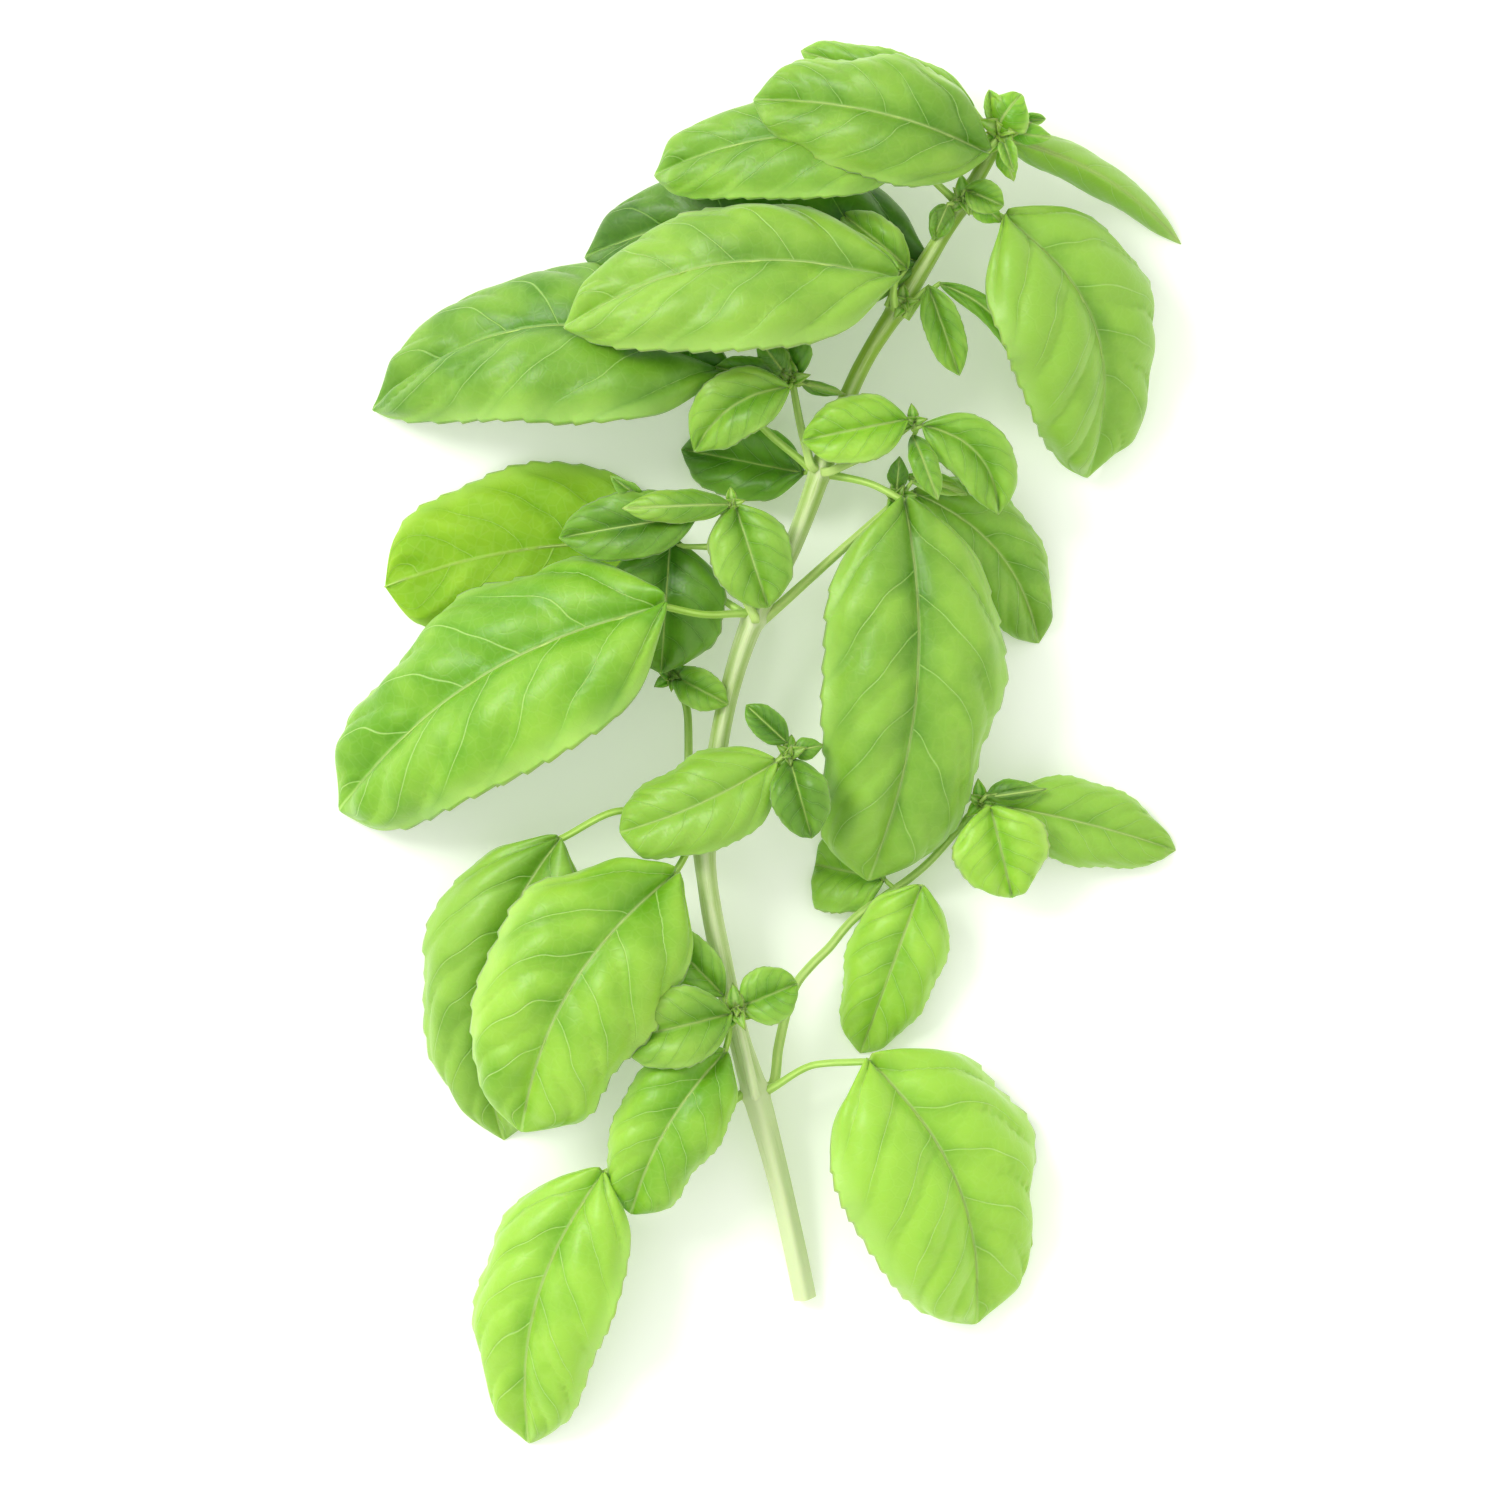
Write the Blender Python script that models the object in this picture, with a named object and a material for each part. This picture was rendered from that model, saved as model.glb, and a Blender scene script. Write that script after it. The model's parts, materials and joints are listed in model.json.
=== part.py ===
"""A cut sprig of sweet basil, lying on a table and seen from above.

The main stem runs along +Y from its cut foot. Leaves sit on it in opposite pairs, and thin side shoots
with smaller leaves come out of the same joints. +X is to the right and +Z is up, away from the table.
Every piece is placed from the joint that it grows from, so a change of one size carries the rest along.
"""

import math

import bpy
from mathutils import Matrix, Vector
from mathutils.bvhtree import BVHTree

MM = 0.001

# Driving sizes, in millimetres.
REACH = 1.0  # scales every distance between joints, and every stalk and blade
BLADE_WIDTH = 1.0  # scales the width of every blade
STEM_FOOT_RADIUS = 2.1
STEM_TIP_RADIUS = 1.35
JOINT_SWELL = 1.22  # a joint's radius over the stem's beside it
SHOOT_FOOT_RADIUS = 0.95
SHOOT_TIP_RADIUS = 0.7
STALK_RADIUS = 0.75  # leaf stalk of a blade that is STALK_FOR long
STALK_FOR = 55.0
LEAST_STALK_RADIUS = 0.4
BLADE_THICKNESS = 0.5
RIB_DEPTH = 0.55  # midrib under the blade, near its base
GROOVE_DEPTH = 0.12  # dip over the midrib
JOIN_GAP = 0.3  # between a stalk or shoot and the stem that it grows from
LAYER_GAP = 0.5  # between a blade and what it lies on

# The main stem: its cut foot, then steps (right, up, rise) to each point of its route.
# The points in JOINTS are swollen, and carry leaves and side shoots.
STEM_FOOT = (10.8, -110.4)
STEM_STEPS = (
    (-4.6, 21.4, 4.5),
    (-5.4, 20.2, 4.5),
    (-3.2, 10.8, 1.5),
    (-3.6, 16.0, 1.5),
    (-2.8, 16.0, 1.0),
    (-0.4, 8.4, 0.5),
    (2.4, 15.6, 0.5),
    (2.4, 12.0, 0.5),
    (5.0, 15.2, 1.0),
    (7.0, 12.8, 0.5),
    (6.2, 16.4, 1.0),
    (5.8, 15.6, 0.5),
    (4.0, 8.0, 0.5),
    (5.4, 8.4, 0.5),
    (9.6, 15.6, 1.0),
    (3.0, 5.0, 0.5),
    (3.0, 5.0, 0.5),
    (4.6, 8.4, 1.5),
)
JOINTS = {"j1": 2, "j2": 6, "j3": 9, "j4": 11, "j5": 14, "j6": 16, "tip": 18}

# Side shoots: the joint they leave, which way they leave it, and their points as steps (right, up, rise).
SHOOTS = {
    "shoot_1_right": ("j1", (1.0, 0.9, -0.3), ((6.4, 16.4, -1.5), (2.0, 5.2, -0.5), (6.6, 7.2, -1.0),
                                               (4.2, 5.0, -0.5), (8.4, 6.2, -0.5), (6.0, 4.6, 0.0),
                                               (11.0, 12.6, 1.0))),
    "shoot_1_left": ("j1", (-0.2, 0.6, 1.0), ((-1.6, 7.0, 5.4), (-2.2, 9.4, 3.0))),
    "shoot_2_right": ("j2", (0.9, 0.3, 0.6), ((6.4, 5.6, 3.4), (10.0, 10.0, 3.0))),
    "shoot_2_left": ("j2", (-1.0, 0.3, -0.9), ((-3.4, 7.0, -1.0), (0.2, 8.4, -1.0), (-1.2, 12.2, -1.0),
                                               (-2.2, 3.2, -0.5))),
    "shoot_3_left": ("j3", (0.3, 0.4, 1.0), ((-4.2, 8.2, 1.5), (-4.4, 5.6, 1.5), (4.4, 8.2, 3.0))),
    "shoot_3_right": ("j3", (1.0, 0.2, -0.1), ((12.0, 9.8, 0.0), (16.2, 13.2, 0.5))),
    "shoot_4_left": ("j4", (-0.4, 0.8, 1.0), ((-3.8, 7.8, 1.5), (-1.8, 9.4, 1.5))),
    "shoot_4_right": ("j4", (0.5, 0.3, 1.0), ((10.0, 3.4, 2.0), (8.2, 5.8, 1.5))),
}


class Leaf:
    """One leaf. stalk reaches (right, up, rise) from joint to blade base, and blade on to the tip."""

    def __init__(self, name, joint, stalk, blade, width, **more):
        self.name = name
        self.joint = joint
        self.stalk = stalk
        self.blade = blade
        self.width = width
        self.sag = more.get("sag", 0.06)  # sideways bow of the stalk, to the left of its run
        self.bow = more.get("bow", 0.0)  # sideways bow of the blade, a share of its reach
        self.arch = more.get("arch", 0.12)  # upward bow of the blade, a share of its reach
        self.roll = more.get("roll", 0.0)  # degrees: the left side up, the right side down
        self.fold = more.get("fold", -6.0)  # degrees: how steeply both sides leave the midrib, downwards
        self.curl = more.get("curl", 45.0)  # degrees more, by the rim
        self.peak = more.get("peak", 0.42)  # where the blade is widest
        self.point = more.get("point", 0.62)  # about 1 for a straight-sided tip, less for a rounder one
        self.rests = more.get("rests", False)  # its lowest point lies on the table
        self.shade = more.get("shade", "leaf_mid")
        self.stem = joint.split(":")[0] if joint.startswith("shoot") else "main_stem"


# Leaves that lie under the stems, from the lowest up.
LEAVES_BELOW = (
    Leaf("leaf_4_under", "j4", (-3.2, -0.4, -4.5), (-24.6, 5.2, -9.0), 17, shade="leaf_dark",
         rests=True),
    Leaf("leaf_3_right_large", "shoot_3_right", (3.2, 1.8, -1.0), (25.6, -29.6, -14.0), 20,
         bow=0.14, roll=-10,
         rests=True),
    Leaf("leaf_3_left_back", "j3", (-17.0, 14.5, -12.0), (-56.8, -8.0, -3.0), 34, bow=-0.06, arch=0.05,
         curl=25, shade="leaf_light", rests=True),
)

# Leaves that lie over the stems or beside them, from the lowest up.
LEAVES_ABOVE = (
    Leaf("leaf_1_left", "j1", (-30.0, -16.0, 4.0), (-15.2, -54.8, -14.0), 31, bow=-0.11, roll=22,
         rests=True, shade="leaf_light"),
    Leaf("leaf_1_right", "j1", (22.4, 6.2, 6.0), (21.8, -53.0, -16.0), 46, bow=0.13, rests=True,
         shade="leaf_light", sag=0.11, roll=-26),
    Leaf("leaf_2_left_outer", "j2", (-28.6, -1.0, 2.0), (-11.6, -60.4, -17.0), 32, bow=-0.14, roll=10,
         rests=True, sag=-0.2),
    Leaf("shoot_1_right_leaf_up", "shoot_1_right:5", (-1.6, 2.0, 0.5), (-14.0, 3.0, -3.0), 18,
         rests=True),
    Leaf("shoot_1_right_leaf_down", "shoot_1_right:5", (5.4, 0.8, 4.5), (-12.0, -33.6, -10.0), 20,
         rests=True, shade="leaf_light"),
    Leaf("shoot_1_right_tip_right", "shoot_1_right", (5.4, -0.6, 2.0), (34.2, -8.8, -8.0), 18, bow=0.02,
         rests=True),
    Leaf("shoot_1_right_tip_down", "shoot_1_right", (2.2, -0.8, 4.0), (4.4, -18.0, -4.0), 22,
         shade="leaf_light"),
    Leaf("shoot_1_right_tip_small", "shoot_1_right", (1.0, 1.2, 2.0), (12.4, 1.8, 0.0), 7, fold=45,
         shade="leaf_dark"),
    Leaf("shoot_1_left_leaf_up", "shoot_1_left", (-2.5, 3.0, -1.0), (-13.0, 13.5, -2.0), 11),
    Leaf("shoot_1_left_leaf_down", "shoot_1_left", (-2.2, -8.4, -0.5), (-18.6, -32.2, -8.0), 22,
         bow=-0.07,
         shade="leaf_light"),
    Leaf("shoot_1_left_leaf_left", "shoot_1_left", (-1.2, -0.6, 2.5), (-22.4, -5.4, -3.0), 18),
    Leaf("shoot_1_left_leaf_right", "shoot_1_left", (1.0, 0.8, 1.0), (11.2, 4.6, 0.0), 13),
    Leaf("leaf_2_left_inner", "j2", (-6.2, -8.2, 4.0), (-30.0, -50.6, -6.0), 38, bow=-0.105,
         shade="leaf_light"),
    Leaf("shoot_2_left_leaf", "shoot_2_left", (0.8, 0.4, 1.0), (10.6, -5.6, 1.0), 9),
    Leaf("shoot_3_left_leaf_down", "shoot_3_left:2", (-8.0, 1.2, -4.0), (-1.8, -26.0, -1.0), 24,
         shade="leaf_dark", roll=-8, curl=30, arch=0.03),
    Leaf("leaf_3_left_front", "j3", (-17.4, 2.0, 11.5), (-65.6, -40.2, -26.0), 44, bow=-0.1, roll=30,
         rests=True, shade="leaf_light"),
    Leaf("shoot_3_left_leaf_dark", "shoot_3_left", (-7.2, -1.8, 0.0), (-27.2, -4.4, -4.0), 15,
         shade="leaf_dark"),
    Leaf("shoot_3_left_leaf_folded", "shoot_3_left", (-0.8, 0.2, 2.2), (-21.0, -0.8, 0.0), 11, fold=40,
         curl=20),
    Leaf("shoot_3_left_leaf_right", "shoot_3_left", (0.6, -0.2, 1.0), (6.4, -20.0, -1.0), 18),
    Leaf("shoot_3_right_leaf_folded", "shoot_3_right", (2.0, 5.0, 0.5), (11.8, -3.4, 0.0), 7, fold=40),
    Leaf("shoot_2_right_leaf_left", "shoot_2_right", (-2.6, -1.4, 2.0), (-30.6, -13.8, -3.0), 20,
         bow=0.04,
         roll=8),
    Leaf("shoot_2_right_leaf_up", "shoot_2_right", (-0.2, 2.6, 2.0), (-8.0, 7.4, 1.0), 7,
         shade="leaf_dark"),
    Leaf("shoot_2_right_leaf_down", "shoot_2_right", (0.6, -1.2, 1.0), (4.2, -15.2, -4.0), 13,
         shade="leaf_dark"),
    Leaf("leaf_4_left", "j4", (-18.8, 18.4, 1.0), (-70.8, -5.8, -20.0), 44, bow=-0.19, roll=42,
         rests=True,
         point=0.8),
    Leaf("shoot_4_left_leaf_up", "shoot_4_left", (0.9, 1.2, 0.0), (-3.4, 9.6, 0.0), 10,
         shade="leaf_dark"),
    Leaf("shoot_4_left_leaf_left", "shoot_4_left", (-2.0, 0.0, -0.5), (-13.4, 3.0, -1.0), 8,
         shade="leaf_dark"),
    Leaf("shoot_4_left_leaf_down", "shoot_4_left", (-0.8, -1.2, 5.0), (-18.6, -12.6, -3.0), 15,
         bow=-0.14),
    Leaf("shoot_4_left_leaf_right", "shoot_4_left", (1.0, 0.2, 1.0), (9.4, -2.6, 1.0), 5, fold=40),
    Leaf("shoot_4_right_leaf_left", "shoot_4_right", (-1.4, 0.6, 2.0), (-20.6, -4.2, 0.0), 15,
         shade="leaf_light"),
    Leaf("shoot_4_right_leaf_right", "shoot_4_right", (1.8, -0.6, 1.5), (15.2, -17.4, -6.0), 14,
         bow=0.2),
    Leaf("shoot_4_right_leaf_down", "shoot_4_right", (0.0, -2.6, -1.5), (4.8, -12.8, 0.0), 8, fold=20),
    Leaf("leaf_5_left_back", "j5", (5.2, 8.2, -2.5), (-67.4, 2.6, -12.0), 36, bow=-0.13, roll=28,
         shade="leaf_dark"),
    Leaf("leaf_5_small_left", "j5", (1.8, 7.8, 2.0), (-13.0, 11.0, -9.0), 10),
    Leaf("leaf_5_left_front", "j5", (-0.8, 4.8, 13.0), (-65.2, -9.0, -8.0), 38, bow=-0.12, roll=35,
         point=0.75),
    Leaf("leaf_5_small_right", "j5", (8.2, 4.8, 0.0), (17.8, -20.8, -6.0), 12, bow=0.15, fold=25),
    Leaf("leaf_5_small_down", "j5", (6.0, 4.2, 2.5), (6.2, -17.6, -3.0), 14),
    Leaf("leaf_6_left", "j6", (-9.4, 9.4, 7.0), (-51.4, -3.8, -10.0), 26, bow=-0.1, roll=30),
    Leaf("leaf_6_right", "j6", (8.2, -3.0, 1.0), (17.4, -50.6, -24.0), 40, bow=0.2, roll=-36,
         rests=True),
    Leaf("leaf_6_small_left", "j6", (-2.8, -1.0, 1.5), (-2.4, -6.0, 0.0), 7, shade="leaf_dark"),
    Leaf("leaf_6_small_right", "j6", (0.6, 2.4, 4.0), (7.6, -3.2, 0.0), 9),
    Leaf("leaf_4_right", "j4", (16.4, -6.2, 3.0), (-7.0, -75.2, -12.0), 38, bow=0.08, roll=-12),
    Leaf("leaf_tip_back", "tip", (-5.6, 5.2, 0.0), (-33.8, 11.8, -6.0), 12),
    Leaf("leaf_tip_under", "tip", (-5.0, -4.0, -5.0), (-17.0, 6.0, 0.0), 10, shade="leaf_dark"),
    Leaf("leaf_tip_left", "tip", (-3.2, -4.0, 6.0), (-45.6, 10.6, -10.0), 26, bow=-0.05, roll=10),
    Leaf("leaf_tip_right", "tip", (1.6, -1.2, 1.2), (35.2, -19.0, -22.0), 16, bow=0.08, fold=50, curl=25,
         rests=True),
    Leaf("bud_leaf_up", "tip", (-0.4, 1.6, 1.5), (-2.0, 7.0, 2.0), 8),
    Leaf("bud_leaf_right", "tip", (2.4, 2.6, -0.5), (6.6, 0.6, -1.0), 6),
    Leaf("bud_leaf_down", "tip", (0.4, -1.4, 3.2), (2.0, -6.4, 0.0), 7),
)

SHADES = {
    "stem": (0.50, 0.66, 0.28),
    "leaf_light": (0.26, 0.52, 0.07),
    "leaf_mid": (0.18, 0.42, 0.05),
    "leaf_dark": (0.08, 0.25, 0.03),
}

# A blade's rings, as shares of its length, and a blade section's points, as shares of its half width.
LONG_BLADE = 30.0  # a blade longer than this takes the finer rings
FINE_RINGS = (0.03, 0.09, 0.18, 0.30, 0.43, 0.57, 0.71, 0.84, 0.94)
COARSE_RINGS = (0.05, 0.18, 0.38, 0.60, 0.82)
STALK_RINGS = (0.0, 0.5, 1.0)
SECTION = ((1.0, 0), (0.5, 1), (0.0, 1), (-0.5, 1), (-1.0, 0), (-0.5, -1), (0.0, -1), (0.5, -1))
LIFTED_BY = 0.28  # a lifted blade has its whole lift at this share of its length
LEAST_LEVER = 0.3  # nearer the stalk than this share of the lift, a blade can't be lifted clear
RING_SQUARENESS = 0.8  # how far a bowed blade's rings stay square to its chord and not to its midrib
CONTROL_BULGE = 2.0  # a quadratic curve passes halfway to its middle control point


def smooth(x):
    x = min(1.0, max(0.0, x))
    return x * x * (3 - 2 * x)


def arc(start, end, sideways, upwards):
    """A quadratic curve over 0 to 1, bowed to the left of its run and upwards by shares of its reach."""
    run = end - start
    left = Vector((-run.y, run.x, 0))
    middle = (start + end) / 2 + CONTROL_BULGE * (sideways * left + Vector((0, 0, upwards * run.length)))
    return lambda t: (1 - t) ** 2 * start + 2 * t * (1 - t) * middle + t * t * end


def material(shade):
    found = bpy.data.materials.get(shade)
    if found:
        return found
    made = bpy.data.materials.new(shade)
    made.use_nodes = True
    principled = made.node_tree.nodes["Principled BSDF"]
    principled.inputs["Base Color"].default_value = (*SHADES[shade], 1)
    principled.inputs["Roughness"].default_value = 0.45
    principled.inputs["Metallic"].default_value = 0.0
    made.diffuse_color = (*SHADES[shade], 1)
    return made


def route(start, steps):
    points = [Vector(start)]
    for step in steps:
        points.append(points[-1] + Vector(step) * REACH)
    return points


def stem_parts():
    """{piece: (points, radii)} in millimetres, and {joint: (place, stem radius, stem direction)}."""
    points = route((*(REACH * x for x in STEM_FOOT), STEM_FOOT_RADIUS), STEM_STEPS)
    last = len(points) - 1
    slim = [STEM_FOOT_RADIUS + (STEM_TIP_RADIUS - STEM_FOOT_RADIUS) * i / last for i in range(last + 1)]
    radii = [r * (JOINT_SWELL if i in JOINTS.values() and i != last else 1) for i, r in enumerate(slim)]
    parts = {"main_stem": (points, radii)}
    joints = {}
    for name, i in JOINTS.items():
        along = (points[min(i + 1, last)] - points[i - 1]).normalized()
        joints[name] = (points[i], radii[i], along)
    for name, (joint, way, steps) in SHOOTS.items():
        centre, radius, along = joints[joint]
        outwards = (Vector(way) - Vector(way).dot(along) * along).normalized()
        foot = centre + outwards * (radius + JOIN_GAP + SHOOT_FOOT_RADIUS)
        shoot = [foot, *route(centre, steps)[1:]]
        last_step = len(shoot) - 1
        thin = [SHOOT_FOOT_RADIUS + (SHOOT_TIP_RADIUS - SHOOT_FOOT_RADIUS) * i / last_step
                for i in range(last_step + 1)]
        parts[name] = (shoot, thin)
        for i in range(1, last_step + 1):
            before, after = shoot[i - 1], shoot[min(i + 1, last_step)]
            joints[f"{name}:{i}"] = (shoot[i], thin[i], (after - before).normalized())
        joints[name] = joints[f"{name}:{last_step}"]
    return parts, joints


def tube(name, points, radii, collection):
    curve = bpy.data.curves.new(name, "CURVE")
    curve.dimensions = "3D"
    curve.bevel_depth = MM
    curve.bevel_resolution = 2
    curve.use_fill_caps = True
    curve.resolution_u = 2
    spline = curve.splines.new("BEZIER")
    spline.bezier_points.add(len(points) - 1)
    for knot, point, radius in zip(spline.bezier_points, points, radii):
        knot.co = point * MM
        knot.radius = radius
        knot.handle_left_type = knot.handle_right_type = "AUTO"
    curve.materials.append(material("stem"))
    made = bpy.data.objects.new(name, curve)
    collection.objects.link(made)
    return made


class Blade:
    """The rings of one leaf, in millimetres, with how far each ring follows a lift of the blade."""

    def __init__(self, leaf, joints):
        self.leaf = leaf
        centre, stem_radius, along = joints[leaf.joint]
        reach = Vector(leaf.blade).length * REACH
        self.stalk_radius = max(LEAST_STALK_RADIUS, STALK_RADIUS * math.sqrt(min(1.0, reach / STALK_FOR)))
        self.base = centre + Vector(leaf.stalk) * REACH
        self.tip = self.base + Vector(leaf.blade) * REACH
        outwards = self.base - centre
        outwards = (outwards - outwards.dot(along) * along).normalized()
        self.foot = centre + outwards * (stem_radius + JOIN_GAP + self.stalk_radius)
        self.half = leaf.width * BLADE_WIDTH * REACH / 2

    def half_width(self, t):
        """A smooth outline that is widest at the leaf's peak and ends in a point."""
        blunt = self.leaf.point
        full = blunt * self.leaf.peak / (1 - self.leaf.peak)
        top = self.leaf.peak ** full * (1 - self.leaf.peak) ** blunt
        return self.half * t**full * (1 - t) ** blunt / top

    def section(self, centre, along, half, depth, radius, blend):
        """Eight points round centre. blend goes from 0, a round stalk, to 1, an arched blade."""
        leaf = self.leaf
        side = Vector((along.y, -along.x, 0)).normalized()
        up = side.cross(along)
        turn = Matrix.Rotation(math.radians(leaf.roll), 3, along)
        side, up = turn @ side, turn @ up
        points = []
        for i, (across, layer) in enumerate(SECTION):
            spread = abs(across)
            slope = math.radians(leaf.fold + leaf.curl * spread / 2) * blend
            out = across * half * math.cos(slope)
            drop = spread * half * math.sin(slope)
            thick = layer * depth / 2
            if across == 0:
                if layer > 0:
                    thick = depth / 2 - GROOVE_DEPTH * blend
                else:
                    thick = -depth / 2 - RIB_DEPTH * radius * blend
            flat = side * out - up * drop + up * thick
            angle = math.pi / 4 * i
            ring = radius * (side * math.cos(angle) + up * math.sin(angle))
            points.append(centre + ring.lerp(flat, blend))
        return points

    def rings(self, lift):
        leaf = self.leaf
        tip = self.tip + Vector((0, 0, lift))
        stalk = arc(self.foot, self.base, leaf.sag, 0.05)
        blade = arc(self.base, self.tip, leaf.bow, leaf.arch)
        shares = FINE_RINGS if (self.tip - self.base).length > LONG_BLADE * REACH else COARSE_RINGS
        chord = (self.tip - self.base).normalized()
        found = []
        for t in STALK_RINGS[:-1]:
            ahead = (stalk(t + 0.05) - stalk(t - 0.05)).normalized()
            found.append(self.section(stalk(t), ahead, 0, 0, self.stalk_radius, 0.0))
        joined = (blade(0.02) - stalk(0.9)).normalized()
        found.append(self.section(self.base, joined, 0, 0, self.stalk_radius, 0.0))
        for t in shares:
            raised = [blade(x) + Vector((0, 0, lift * smooth(x / LIFTED_BY)))
                      for x in (t - 0.02, t, t + 0.02)]
            radius = self.stalk_radius * (1 - 0.75 * t)
            half = max(self.half_width(t), radius)
            ahead = (raised[2] - raised[0]).normalized() + RING_SQUARENESS * chord
            found.append(self.section(raised[1], ahead.normalized(), half, BLADE_THICKNESS, radius,
                                      smooth(t / 0.08)))
        levers = [0.0] * len(STALK_RINGS) + [smooth(t / LIFTED_BY) for t in shares] + [1.0]
        first = stalk(0.0) - (stalk(0.05) - stalk(0.0)).normalized() * self.stalk_radius * 0.4
        return first, found, tip, levers


def leaf_faces(rings):
    """Faces round the rings, with a closing point before the first ring (0) and after the last."""
    sides, last = len(SECTION), 1 + len(rings) * len(SECTION)
    faces = []
    for j in range(sides):
        k = (j + 1) % sides
        faces.append((0, 1 + j, 1 + k))
        for ring in range(len(rings) - 1):
            a, b = 1 + ring * sides, 1 + (ring + 1) * sides
            faces.append((a + j, b + k, a + k))
            faces.append((a + j, b + j, b + k))
        a = last - sides
        faces.append((a + j, last, a + k))
    return faces


def settle(blade, below):
    """The lift, in millimetres, that lays a blade on the table or clear over the pieces below it."""
    lift = 0.0
    for _ in range(4):
        first, rings, tip, levers = blade.rings(lift)
        points = [first, *(p for ring in rings for p in ring), tip]
        weights = [0.0, *(w for w, ring in zip(levers, rings) for _ in ring), 1.0]
        faces = leaf_faces(rings)
        needs = [-p.z / w for p, w in zip(points, weights) if w >= LEAST_LEVER]
        lift += max(needs) if blade.leaf.rests else max(0.0, max(needs))
        needs = [0.0]
        first, rings, tip, levers = blade.rings(lift)
        points = [first, *(p for ring in rings for p in ring), tip]
        tree = BVHTree.FromPolygons(points, faces)
        for name, other_tree, other_points in below:
            if name == blade.leaf.stem:
                continue
            for p, w in zip(points, weights):
                hit = other_tree.ray_cast(Vector((p.x, p.y, 500)), Vector((0, 0, -1)))[0]
                if hit and w >= LEAST_LEVER:
                    needs.append((hit.z + LAYER_GAP - p.z) / w)
            for q in other_points:
                hit, _, face, _ = tree.ray_cast(Vector((q.x, q.y, -500)), Vector((0, 0, 1)))
                if hit:
                    w = max(weights[i] for i in faces[face])
                    if w >= LEAST_LEVER:
                        needs.append((q.z + LAYER_GAP - hit.z) / w)
        lift += max(needs)
        if max(needs) == 0.0:
            break
    return lift


def leaf_object(leaf, joints, below, collection):
    blade = Blade(leaf, joints)
    lift = settle(blade, below)
    first, rings, tip, _ = blade.rings(lift)
    points = [first, *(p for ring in rings for p in ring), tip]
    faces = leaf_faces(rings)
    mesh = bpy.data.meshes.new(leaf.name)
    mesh.from_pydata([p * MM for p in points], [], faces)
    mesh.shade_smooth()
    mesh.materials.append(material(leaf.shade))
    made = bpy.data.objects.new(leaf.name, mesh)
    collection.objects.link(made)
    below.append((leaf.name, BVHTree.FromPolygons(points, faces), points))
    print(f"{leaf.name}: lift {lift:.1f} mm")
    return made


def as_obstacle(made):
    """A stem's name, tree and points in millimetres, for the leaves that lie over it."""
    evaluated = made.evaluated_get(bpy.context.evaluated_depsgraph_get())
    mesh = evaluated.to_mesh()
    points = [v.co / MM for v in mesh.vertices]
    faces = [tuple(p.vertices) for p in mesh.polygons]
    evaluated.to_mesh_clear()
    return made.name, BVHTree.FromPolygons(points, faces), points


def stand_at_origin(objects):
    """Puts the middle of the sprig's box over the origin and its lowest point at height 0."""
    bpy.context.view_layer.update()
    corners = []
    graph = bpy.context.evaluated_depsgraph_get()
    for made in objects:
        mesh = made.evaluated_get(graph).to_mesh()
        corners += [v.co.copy() for v in mesh.vertices]
        made.evaluated_get(graph).to_mesh_clear()
    low = Vector([min(c[i] for c in corners) for i in range(3)])
    high = Vector([max(c[i] for c in corners) for i in range(3)])
    for made in objects:
        made.location = (-(low.x + high.x) / 2, -(low.y + high.y) / 2, -low.z)


def main():
    for old in list(bpy.data.objects):
        bpy.data.objects.remove(old)
    collection = bpy.data.collections.new("cut_basil_sprig")
    bpy.context.scene.collection.children.link(collection)
    parts, joints = stem_parts()
    below = []
    objects = [leaf_object(leaf, joints, below, collection) for leaf in LEAVES_BELOW]
    stems = [tube(name, points, radii, collection) for name, (points, radii) in parts.items()]
    bpy.context.view_layer.update()
    below += [as_obstacle(made) for made in stems]
    objects += stems
    objects += [leaf_object(leaf, joints, below, collection) for leaf in LEAVES_ABOVE]
    stand_at_origin(objects)


main()
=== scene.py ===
# %% [markdown]
# # A cut sprig of sweet basil
# The sprig lies on a white table and is seen from straight above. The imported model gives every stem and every
# leaf as a plain, coarse solid. This lesson keeps their places and sizes, and grows the fine shapes on them:
# quilted blades with side veins and toothed margins, ribbed stems and stalks, and the little rosettes of buds.

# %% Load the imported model
import json
import math

import bmesh
import bpy
import numpy as np
from mathutils import Matrix, Vector


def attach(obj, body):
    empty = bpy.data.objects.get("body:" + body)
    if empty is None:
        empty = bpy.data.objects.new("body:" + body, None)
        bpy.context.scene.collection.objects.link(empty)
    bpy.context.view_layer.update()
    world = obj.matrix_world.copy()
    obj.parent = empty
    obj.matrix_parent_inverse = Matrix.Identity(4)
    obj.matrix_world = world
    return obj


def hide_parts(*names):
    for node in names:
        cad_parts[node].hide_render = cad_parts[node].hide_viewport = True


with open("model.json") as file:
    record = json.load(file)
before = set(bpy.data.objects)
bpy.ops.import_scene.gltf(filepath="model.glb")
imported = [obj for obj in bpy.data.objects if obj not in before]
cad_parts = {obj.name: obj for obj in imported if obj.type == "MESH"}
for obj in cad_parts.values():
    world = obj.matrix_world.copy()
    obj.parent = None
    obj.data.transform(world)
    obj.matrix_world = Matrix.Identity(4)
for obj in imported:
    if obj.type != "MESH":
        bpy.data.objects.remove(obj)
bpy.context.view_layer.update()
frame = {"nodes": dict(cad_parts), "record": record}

MM = 0.001
slot_of = {part["node"]: part["material_slot"] for part in frame["record"]["subparts"]}
stem_names = sorted(name for name in frame["nodes"] if slot_of[name] == "stem")
leaf_names = sorted(name for name in frame["nodes"] if slot_of[name] != "stem")
print(len(stem_names), "stems and", len(leaf_names), "leaves in the packed model")

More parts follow.
